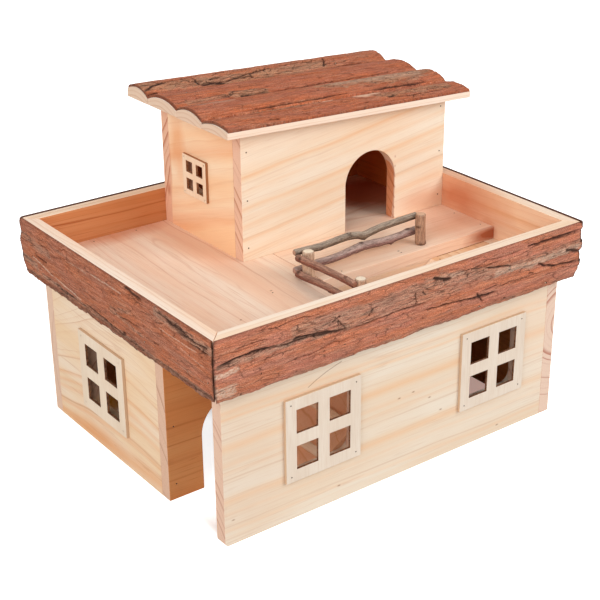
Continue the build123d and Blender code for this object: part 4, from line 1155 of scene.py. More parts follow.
@dataclass
class Twig:
    """A natural twig along a path, in millimetres of the maker's frame."""

    masks: ClassVar[tuple[str, ...]] = ("crack", "grey", "cut")
    node: str
    path: tuple[Point, ...]
    radii: tuple[float, ...]
    seed: int
    knots: tuple[Knot, ...] = ()
    waver: float = 0.07
    chamfer: float = 0.7
    grey: float = 0.4

    def line(self) -> tuple[Grid, Grid]:
        """Returns closely spaced points of the smooth path and the radius at each."""
        corners = np.array(self.path)
        padded = np.vstack([2 * corners[0] - corners[1], corners, 2 * corners[-1] - corners[-2]])
        points: list[Grid] = []
        for n in range(len(corners) - 1):
            p0, p1, p2, p3 = padded[n:n + 4]
            count = max(6, int(np.linalg.norm(p2 - p1) / 0.8))
            for t in np.linspace(0, 1, count, endpoint=n == len(corners) - 2):
                points.append(0.5 * (2 * p1 + (p2 - p0) * t + (2 * p0 - 5 * p1 + 4 * p2 - p3) * t * t
                                     + (3 * p1 - p0 - 3 * p2 + p3) * t**3))
        line = np.array(points)
        travelled = np.concatenate([[0], np.cumsum(np.linalg.norm(np.diff(line, axis=0), axis=1))])
        radii = np.interp(travelled / travelled[-1], np.linspace(0, 1, len(self.radii)), self.radii)
        return line, radii

    @staticmethod
    def frames(line: Grid) -> tuple[Grid, Grid]:
        """Returns two directions across the line at each point, carried along without twist."""
        tangents = np.gradient(line, axis=0)
        tangents /= np.linalg.norm(tangents, axis=1)[:, None]
        helper = np.array([0.0, 0.0, 1.0]) if abs(tangents[0][2]) < 0.8 else np.array([1.0, 0.0, 0.0])
        first = []
        for tangent in tangents:
            helper = helper - tangent * np.dot(helper, tangent)
            helper /= np.linalg.norm(helper)
            first.append(helper)
        across = np.array(first)
        return across, np.cross(tangents, across)

    def tube(self, line: Grid, radii: Grid, sides: int, seed: int, knots: Sequence[Knot]) -> dict[str, Grid | list]:
        """Returns vertices, faces and masks of one closed rough tube."""
        noise = Relief(seed)
        up, side = self.frames(line)
        travelled = np.concatenate([[0], np.cumsum(np.linalg.norm(np.diff(line, axis=0), axis=1))])
        last = len(line) - 1
        rows = [(0, 1e-3, 1.0), (0, 0.55, 1.0), (0, 0.86, 0.9)] + [(n, 1.0, 0.0) for n in range(len(line))] + [
            (last, 0.86, 0.9), (last, 0.55, 1.0), (last, 1e-3, 1.0)]
        angle = np.linspace(0, 2 * math.pi, sides, endpoint=False)
        points, grain, masks = [], [], {name: [] for name in self.masks}
        for index, squeeze, cut in rows:
            s = travelled[index]
            circle_a, circle_b = np.cos(angle) * 2.1, np.sin(angle) * 2.1
            rough = noise.layered(s / 15 + circle_a, circle_b + 20, 3)
            fibre = noise.layered(s / 5 + 9, angle * 5.0, 2)
            radius = radii[index] * (1 + self.waver * rough) + 0.09 * fibre
            dark = np.clip(-0.2 - fibre * 1.6, 0, 1) * 0.5
            for knot in knots:
                turn = np.angle(np.exp(1j * (angle - knot.angle)))
                near = np.exp(-((s / travelled[-1] - knot.share) * travelled[-1] / (1.9 * knot.size + 0.8)) ** 2
                              - (turn / 0.75) ** 2)
                radius = radius + 0.75 * knot.size * near
                dark = np.maximum(dark, np.clip(near * 1.3 - 0.45, 0, 1))
            end_gap = min(s, travelled[-1] - s)
            radius = radius - self.chamfer * max(0.0, 1 - end_gap / 1.2) ** 2
            tilt = 0.35 * (1 - squeeze) * (1 if index else -1)
            spoke = up[index] * np.cos(angle)[:, None] + side[index] * np.sin(angle)[:, None]
            ring = line[index] + spoke * (radius * squeeze)[:, None]
            tangent = line[min(index + 1, last)] - line[max(index - 1, 0)]
            points.append(ring + tangent / np.linalg.norm(tangent) * tilt * 0.5)
            masks["crack"].append(dark * (1 - cut))
            masks["grey"].append(np.clip(self.grey + 0.6 * noise.layered(s / 24 + circle_a, circle_b + 60, 2), 0, 1))
            masks["cut"].append(np.full(sides, cut))
            grain.append(np.stack([np.full(sides, s), np.abs(angle - math.pi) * radii[index],
                                   np.full(sides, float(seed))], -1))
        return {"faces": tube_faces(len(rows), sides), "points": np.concatenate(points),
                "grain": np.concatenate(grain), **{name: np.concatenate(values) for name, values in masks.items()}}

    def build(self, material: Material) -> Piece:
        """Returns the twig, riding in place of its plain node."""
        line, radii = self.line()
        tubes = [self.tube(line, radii, 30, self.seed, self.knots)]
        up, side = self.frames(line)
        for number, knot in enumerate(k for k in self.knots if k.stub > 0):
            index = int(knot.share * (len(line) - 1))
            out = up[index] * math.cos(knot.angle) + side[index] * math.sin(knot.angle)
            tangent = line[min(index + 1, len(line) - 1)] - line[max(index - 1, 0)]
            lean = out + 0.5 * tangent / np.linalg.norm(tangent)
            lean /= np.linalg.norm(lean)
            start = line[index] + out * radii[index] * 0.3
            stub = start + lean * np.linspace(0, radii[index] * 0.7 + knot.stub, 8)[:, None]
            tubes.append(self.tube(stub, np.linspace(knot.stub_radius * 1.35, knot.stub_radius, 8), 12,
                                   self.seed + 7 + number, ()))
        faces, offset = [], 0
        for tube in tubes:
            faces += [[v + offset for v in face] for face in tube["faces"]]
            offset += len(tube["points"])
        whole = {name: np.concatenate([tube[name] for tube in tubes]) for name in ("points", "grain", *self.masks)}
        mesh = bpy.data.meshes.new(f"{self.node}_twig")
        mesh.from_pydata((to_part(*whole["points"].T) * MM).tolist(), [], faces)
        note_masks(mesh, {name: whole[name] for name in self.masks}, whole["grain"])
        return hand_over(finish_mesh(mesh.name, mesh, material), self.node)


@dataclass(frozen=True)
class TwigFinish(Finish):
    """Thin bark of a twig with pale sawn ends, or the bare wood of a peeled twig, with painted light on its upper side
    and painted shade on its underside.
    """

    skin: Colour = srgb(0x8E7068)
    streak: Colour = srgb(0x68483E)
    grey: Colour = srgb(0x988C82)
    fleck: Colour = srgb(0xBEAC9C)
    cut: Colour = srgb(0xF0DABE)
    dark: Colour = srgb(0x3E2A24)
    roughness: float = 0.8
    painted_light: float = 0.75

    def paint(self, net: Graph) -> None:
        """Fills the material."""
        masks = {name: net.add("ShaderNodeAttribute", attribute_name=name).outputs["Fac"] for name in Twig.masks}
        grain = net.add("ShaderNodeAttribute", attribute_name="grain").outputs["Vector"]
        skin = BARK_SKIN.place(net, Vector=net.scaled(grain, (1.8, 1.6, 1.0)))
        upward = net.dot(net.add("ShaderNodeNewGeometry").outputs["Normal"], (-0.25, -0.25, 0.94))
        # Painted light: faces turned up, leaning to the front-left, take the pale fleck colour; painted shade: faces
        # turned down take the dark colour.
        painted_light = net.times(net.remap(upward, 0.2, 1.0, 0.0, self.painted_light), net.remap(skin["Grit"], 0.35, 0.6, 0.3, 1.0))
        painted_under_shade = net.remap(upward, 0.1, -0.8, 0.0, 0.55 * self.painted_light)
        rings = net.remap(skin["Flake"], 0.3, 0.7, 0.0, 0.3)
        colour = net.cover(self.skin, (skin["Streak"], 0.8, self.streak), (masks["grey"], 0.8, self.grey),
                           (skin["Fleck"], 0.6, self.fleck), (painted_light, 1.0, self.fleck),
                           (painted_under_shade, 1.0, self.dark), (skin["Hair"], 0.7, self.dark),
                           (masks["crack"], 1.0, self.dark),
                           (masks["cut"], 1.0, net.mix(rings, self.cut, self.fleck)))
        net.skin(colour, self.roughness, Normal=net.bump(skin["Height"], 0.45, 0.0003))


@dataclass
class TwigFence:
    """The fence beside the stairwell: three peeled posts and four rails."""

    corner: Spot = (148.3, 90.6)
    end: Spot = (270.5, 91.15)
    front: Spot = (148.0, 21.8)
    behind: float = 98.8
    beside: float = 140.2

    def posts(self) -> list[tuple[Twig, TwigFinish]]:
        """Returns the three posts with their finishes."""
        peeled = TwigFinish("peeled_twig", srgb(0xDEBEA2), srgb(0xBE9274), srgb(0xCEAC92), srgb(0xECD4BC),
                            srgb(0xFAEAD2), srgb(0x784E3A), 0.6, 0.3)
        weathered = TwigFinish("weathered_post", srgb(0xBE8E70), srgb(0x8C6048), srgb(0xCEA88C), srgb(0xDEBEA4),
                               srgb(0xDEB292), srgb(0x482A20), 0.7, 0.4)
        plan = (("corner", self.corner, 5.2, 24.7, peeled, (Knot(0.55, 2.0, 0.5),), 0.2),
                ("end", self.end, 4.65, 28.1, weathered, (Knot(0.06, 5.2, 1.1), Knot(0.03, 4.2, 0.9),
                                                          Knot(0.62, 3.6, 0.5)), 0.35),
                ("front", self.front, 4.9, 24.7, peeled, (Knot(0.4, 1.0, 0.6),), 0.2))
        result = []
        for name, (x, y), radius, height, finish, knots, grey in plan:
            top = FLOOR_TOP + height
            path = ((x, y, FLOOR_TOP), (x + 0.1, y, FLOOR_TOP + 0.35 * height),
                    (x - 0.1, y, FLOOR_TOP + 0.7 * height), (x, y, top))
            radii = (radius * 0.98, radius * 0.99, radius * 0.96)
            post = Twig(f"fence_post_{name}", path, radii, 100 + len(name), knots, 0.025, 0.5, grey)
            result.append((post, finish))
        return result

    def rails(self) -> list[tuple[Twig, TwigFinish]]:
        """Returns the four rails with their finishes."""
        grey_green = TwigFinish("grey_green_twig", srgb(0x88705C), srgb(0x584034), srgb(0x928272), srgb(0xCEBEAC),
                                srgb(0xB08068), srgb(0x30201A))
        purple = TwigFinish("purple_grey_twig", srgb(0x9C7068), srgb(0x66423C), srgb(0xAC9088), srgb(0xE2CCC0),
                            srgb(0xAA7C68), srgb(0x36201C))
        red = TwigFinish("red_brown_twig", srgb(0x925846), srgb(0x5C342A), srgb(0xA07868), srgb(0xD4A890),
                         srgb(0x966650), srgb(0x321A14))
        half = math.pi
        long_upper = tuple((x, self.behind, z) for x, z in (
            (139.9, 175.6), (153.2, 175.0), (164.7, 174.4), (176.4, 174.8), (188.2, 175.8), (196.5, 175.8),
            (204.9, 174.9), (212.2, 173.2), (219.5, 173.8), (230.5, 175.4), (242.8, 176.0), (255.4, 176.6),
            (272.4, 177.0)))
        long_lower = tuple((x, self.behind, z) for x, z in (
            (139.9, 159.2), (164.7, 160.2), (176.4, 160.0), (188.2, 160.6), (200.2, 162.0), (209.9, 162.8),
            (219.6, 162.8), (230.7, 162.0), (243.2, 161.8), (255.8, 162.5), (272.4, 163.4)))
        short_upper = tuple((self.beside, y, z) for y, z in ((95.0, 172.6), (81.3, 173.2), (66.4, 174.4),
                                                             (51.8, 174.7), (37.4, 175.3), (19.4, 175.1)))
        short_lower = tuple((self.beside, y, z) for y, z in ((95.0, 158.2), (81.4, 158.8), (66.4, 160.0),
                                                             (51.7, 160.6), (37.0, 160.6), (19.4, 160.8)))
        return [
            (Twig("fence_rail_long_upper", long_upper, (2.8, 3.05, 3.1, 3.2, 3.1, 3.0, 3.0), 131,
                  (Knot(0.42, 0.3, 1.1, 1.8, 1.1), Knot(0.55, half - 0.3, 1.3, 1.6, 1.2), Knot(0.2, 2.2, 0.6),
                   Knot(0.84, 4.4, 0.7)), 0.09, grey=0.3), grey_green),
            (Twig("fence_rail_long_lower", long_lower, (3.0, 3.25, 3.4, 3.7, 3.6, 3.4, 3.5), 137,
                  (Knot(0.53, 0.1, 1.2, 0.9, 1.2), Knot(0.49, half + 0.2, 0.8, 1.1, 0.8),
                   Knot(0.78, half - 0.2, 1.1, 1.9, 1.1), Knot(0.92, 0.2, 1.2)), 0.1, grey=0.4), purple),
            (Twig("fence_rail_short_upper", short_upper, (3.0, 3.2, 3.1, 3.0, 2.9, 2.9), 139,
                  (Knot(0.34, half, 1.2, 1.1, 1.1), Knot(0.86, 0.2, 1.0, 1.7, 0.9),
                   Knot(0.1, 1.0, 0.9)), 0.1, grey=0.15), red),
            (Twig("fence_rail_short_lower", short_lower, (3.2, 3.0, 2.9, 2.85, 2.8), 149,
                  (Knot(0.06, 0.6, 1.2), Knot(0.16, 5.0, 1.0), Knot(0.6, 2.6, 0.7)), 0.1, grey=0.2), red),
        ]

    def build(self) -> list[Piece]:
        """Returns the fence's pieces."""
        finishes: dict[str, Material] = {}
        pieces = []
        for twig, finish in self.posts() + self.rails():
            if finish.name not in finishes:
                finishes[finish.name] = finish.material()
            pieces.append(twig.build(finishes[finish.name]))
        return pieces


# ---------------- fasteners
class GeometryTree:
    """A Geometry Nodes tree with named inputs, run once on a mesh."""

    def __init__(self, name: str, **inputs: str) -> None:
        """Makes the tree's sockets.

        Args:
            name: Name of the tree.
            **inputs: Kind of each input besides the geometry and the material, by name.
        """
        self.tree = bpy.data.node_groups.new(name, "GeometryNodeTree")
        face = self.tree.interface
        face.new_socket("Geometry", in_out="INPUT", socket_type="NodeSocketGeometry")
        self.keys: dict[str, str] = {}
        for label, kind in {**inputs, "material": "Material"}.items():
            self.keys[label] = face.new_socket(label, in_out="INPUT", socket_type=f"NodeSocket{kind}").identifier
        face.new_socket("Geometry", in_out="OUTPUT", socket_type="NodeSocketGeometry")
        self.net = Graph(self.tree)
        self.given = self.net.add("NodeGroupInput").outputs

    def close(self, geometry: Socket) -> None:
        """Ends the tree in Realize Instances and Set Material."""
        real = self.net.add("GeometryNodeRealizeInstances", {0: geometry}).outputs[0]
        dressed = self.net.add("GeometryNodeSetMaterial", {"Geometry": real,
                                                           "Material": self.given["material"]}).outputs[0]
        self.net.add("NodeGroupOutput", {0: dressed})

    def run(self, name: str, mesh: Mesh, **values: Any) -> Piece:
        """Runs the tree on a mesh and keeps the result as a plain mesh.

        Args:
            name: Name of the finished piece.
            mesh: What the tree starts from.
            **values: Values of the inputs, by name.

        Returns:
            The finished piece, at the origin.
        """
        carrier = link_object(f"{name}_points", mesh)
        modifier = carrier.modifiers.new("nodes", "NODES")
        modifier.node_group = self.tree
        for label, value in values.items():
            modifier[self.keys[label]] = value
        bpy.context.view_layer.update()
        result = bpy.data.meshes.new_from_object(carrier.evaluated_get(bpy.context.evaluated_depsgraph_get()))
        result.name = name
        carrier.modifiers.remove(modifier)
        bpy.data.objects.remove(carrier)
        return link_object(name, result)


@dataclass
class Brads:
    """Wire brads with a small head and a drawn point, in place of the plain ones of the nodes."""

    wire: float = 0.5
    head: float = 0.6
    head_depth: float = 0.8
    point: float = 1.8
    seed: int = 5
    tree: GeometryTree | None = None

    def make_tree(self) -> GeometryTree:
        """Returns the tree that puts one brad on every point, driven along the point's direction."""
        made = GeometryTree("driven_brads", wire="Float", head="Float", head_depth="Float", point="Float", seed="Int")
        net, given = made.net, made.given
        drive = net.add("GeometryNodeInputNamedAttribute", {"Name": "drive"}, data_type="FLOAT_VECTOR").outputs[0]
        length = net.add("GeometryNodeInputNamedAttribute", {"Name": "length"}, data_type="FLOAT").outputs[0]
        straight = net.minus(length, given["point"])
        aligned = net.add("FunctionNodeAlignRotationToVector", {"Vector": drive}, axis="Z").outputs[0]
        spin = net.add("FunctionNodeRandomValue", {2: 0.0, 3: 6.283, "Seed": given["seed"]},
                       data_type="FLOAT").outputs[1]
        turn = net.add("FunctionNodeAxisAngleToRotation", {"Axis": (0, 0, 1), "Angle": spin}).outputs[0]
        rotation = net.add("FunctionNodeRotateRotation", {0: aligned, 1: turn}, rotation_space="LOCAL").outputs[0]
        cap = net.add("GeometryNodeMeshCylinder", {"Vertices": 12, "Radius": given["head"],
                                                   "Depth": given["head_depth"]}, fill_type="NGON").outputs[0]
        low = net.add("ShaderNodeCombineXYZ", {2: net.times(given["head_depth"], 0.5)}).outputs[0]
        cap = net.add("GeometryNodeTransform", {"Geometry": cap, "Translation": low}).outputs[0]
        rod = net.add("GeometryNodeMeshCylinder", {"Vertices": 10, "Radius": given["wire"], "Depth": 1.0},
                      fill_type="NGON")
        rod = net.add("GeometryNodeTransform", {"Geometry": rod.outputs[0], "Translation": (0, 0, 0.5)}).outputs[0]
        tip = net.add("GeometryNodeMeshCone", {"Vertices": 10, "Radius Top": 0.00005, "Radius Bottom": given["wire"],
                                               "Depth": given["point"]}, fill_type="NGON").outputs[0]
        far_points = net.add("GeometryNodeSetPosition", {"Geometry": given["Geometry"],
                                                         "Offset": net.grown(drive, straight)}).outputs[0]
        stretch = net.add("ShaderNodeCombineXYZ", {0: 1.0, 1: 1.0, 2: straight}).outputs[0]
        joined = net.add("GeometryNodeJoinGeometry")
        for points, shape, scale in ((given["Geometry"], cap, (1.0, 1.0, 1.0)), (given["Geometry"], rod, stretch),
                                     (far_points, tip, (1.0, 1.0, 1.0))):
            placed = net.add("GeometryNodeInstanceOnPoints", {"Points": points, "Instance": shape,
                                                              "Rotation": rotation, "Scale": scale})
            net.feed(joined.inputs[0], placed.outputs[0])
        made.close(joined.outputs[0])
        return made

    @staticmethod
    def outward(name: str, middle: Point, axis: int) -> Vector:
        """Tells which way a brad's head faces.

        Args:
            name: The node that the brad belongs to.
            middle: Its middle, in millimetres of the maker's frame.
            axis: The axis along which it lies.

        Returns:
            A unit direction.
        """
        if name == "roof_nails":
            return Vector((math.sin(RoofBark.fall), 0.0, math.cos(RoofBark.fall)))
        centre = {"cabin_nails": (237.0, 213.0), "ramp_nails": (300.0, 45.0)}.get(name, (HOUSE[0] / 2, HOUSE[1] / 2))
        facing = [0.0, 0.0, 0.0]
        if axis == 2:
            facing[2] = -1.0 if name in {"cabin_nails", "fence_nails"} else 1.0
        else:
            facing[axis] = 1.0 if middle[axis] > centre[axis] else -1.0
        return Vector(facing)

    def build(self, name: str, node: Piece, material: Material) -> Piece:
        """Returns one piece with the brads of one node.

        Args:
            name: Name of the plain node.
            node: The plain node.
            material: Finish of the brads.

        Returns:
            The piece, riding in place of its node.
        """
        self.tree = self.tree or self.make_tree()
        heads, drives, lengths = [], [], []
        for low, high in loose_boxes(node.data):
            size, middle = high - low, (low + high) / 2
            axis = max(range(3), key=lambda k: size[k])
            facing = self.outward(name, (middle.x / MM + ORIGIN[0], middle.y / MM + ORIGIN[1], middle.z / MM), axis)
            length = size[axis] - 0.08 * MM
            heads.append(tuple(middle + facing * length / 2))
            drives.append(tuple(-facing))
            lengths.append(length)
        mesh = bpy.data.meshes.new(f"{name}_heads")
        mesh.from_pydata(heads, [], [])
        mesh.attributes.new("drive", "FLOAT_VECTOR", "POINT").data.foreach_set("vector", np.array(drives).ravel())
        mesh.attributes.new("length", "FLOAT", "POINT").data.foreach_set("value", np.array(lengths))
        scale = 0.82 if name == "window_pins" else 1.0
        piece = self.tree.run(f"{name}_driven", mesh, wire=self.wire * scale * MM, head=self.head * scale * MM,
                              head_depth=self.head_depth * MM, point=self.point * MM, seed=self.seed,
                              material=material)
        return hand_over(piece, name)


@dataclass
class RampRungs:
    """The ramp's treads: one batten with broken corners, laid at an even pitch up the slope."""

    foot: Point = (50.0, 46.0, 0.0)
    head: Point = (274.0, 46.0, 141.5)
    first: float = 32.0
    pitch: float = 33.0
    count: int = 7
    size: Point = (7.0, 68.0, 5.0)
    corner: float = 1.16
    ease: float = 0.25

    def batten(self) -> Piece:
        """Returns one batten, standing on the origin."""
        work = bmesh.new()
        lift = Matrix.Translation((0, 0, self.size[2] / 2 * MM))
        bmesh.ops.create_cube(work, size=1.0, matrix=lift @ Matrix.Diagonal((*(s * MM for s in self.size), 1.0)))
        top = [e for e in work.edges if all(v.co.z > self.size[2] * 0.9 * MM for v in e.verts)
               and abs(e.verts[0].co.y - e.verts[1].co.y) > self.size[1] * 0.5 * MM]
        bmesh.ops.bevel(work, geom=top, offset=self.corner * MM, offset_type="OFFSET", segments=1, affect="EDGES",
                        profile=0.5)
        sharp = [e for e in work.edges if e.is_manifold and e.calc_face_angle(0.0) > math.radians(60)]
        bmesh.ops.bevel(work, geom=sharp, offset=self.ease * MM, offset_type="OFFSET", segments=2, affect="EDGES",
                        profile=0.5)
        mesh = bpy.data.meshes.new("batten")
        work.to_mesh(mesh)
        work.free()
        return link_object("batten", mesh)

    def build(self, material: Material) -> Piece:
        """Returns the treads, riding in place of their node."""
        made = GeometryTree("laid_treads", count="Int", start="Vector", step="Vector", slope="Float", batten="Object")
        net, given = made.net, made.given
        line = net.add("GeometryNodeMeshLine", {"Count": given["count"], "Start Location": given["start"],
                                                "Offset": given["step"]}, mode="OFFSET").outputs[0]
        batten = net.add("GeometryNodeObjectInfo", {"Object": given["batten"]}).outputs["Geometry"]
        tilt = net.add("FunctionNodeAxisAngleToRotation", {"Axis": (0, -1, 0), "Angle": given["slope"]}).outputs[0]
        made.close(net.add("GeometryNodeInstanceOnPoints", {"Points": line, "Instance": batten,
                                                            "Rotation": tilt}).outputs[0])
        run, rise = self.head[0] - self.foot[0], self.head[2] - self.foot[2]
        slope = math.atan2(rise, run)
        uphill = np.array((math.cos(slope), 0.0, math.sin(slope)))
        start = to_part(*self.foot) + self.first * uphill
        model = self.batten()
        piece = made.run("ramp_treads", bpy.data.meshes.new("no_points"), count=self.count, slope=slope,
                         start=tuple(float(v) * MM for v in start), batten=model, material=material,
                         step=tuple(float(v) * self.pitch * MM for v in uphill))
        bpy.data.objects.remove(model)
        return hand_over(piece, "ramp_rungs")


def loose_boxes(mesh: Mesh) -> list[tuple[Vector, Vector]]:
    """Returns the box round each separate solid of a node's mesh."""
    work = bmesh.new()
    work.from_mesh(mesh)
    bmesh.ops.remove_doubles(work, verts=work.verts, dist=1e-6)
    seen: set[bmesh.types.BMVert] = set()
    boxes = []
    for start in work.verts:
        if start in seen:
            continue
        stack, group = [start], []
        seen.add(start)
        while stack:
            vertex = stack.pop()
            group.append(vertex.co)
            for edge in vertex.link_edges:
                other = edge.other_vert(vertex)
                if other not in seen:
                    seen.add(other)
                    stack.append(other)
        boxes.append((Vector([min(c[i] for c in group) for i in range(3)]),
                      Vector([max(c[i] for c in group) for i in range(3)])))
    work.free()
    return boxes


# ---------------- boards
FACE_BACK: Point = (0.0, 1.0, 0.0)
FACE_FRONT: Point = (0.0, -1.0, 0.0)
FACE_LEFT: Point = (-1.0, 0.0, 0.0)
FACE_RIGHT: Point = (1.0, 0.0, 0.0)
FACE_DOWN: Point = (0.0, 0.0, -1.0)
UNDER_BARK: Colour = srgb(0x70402E)

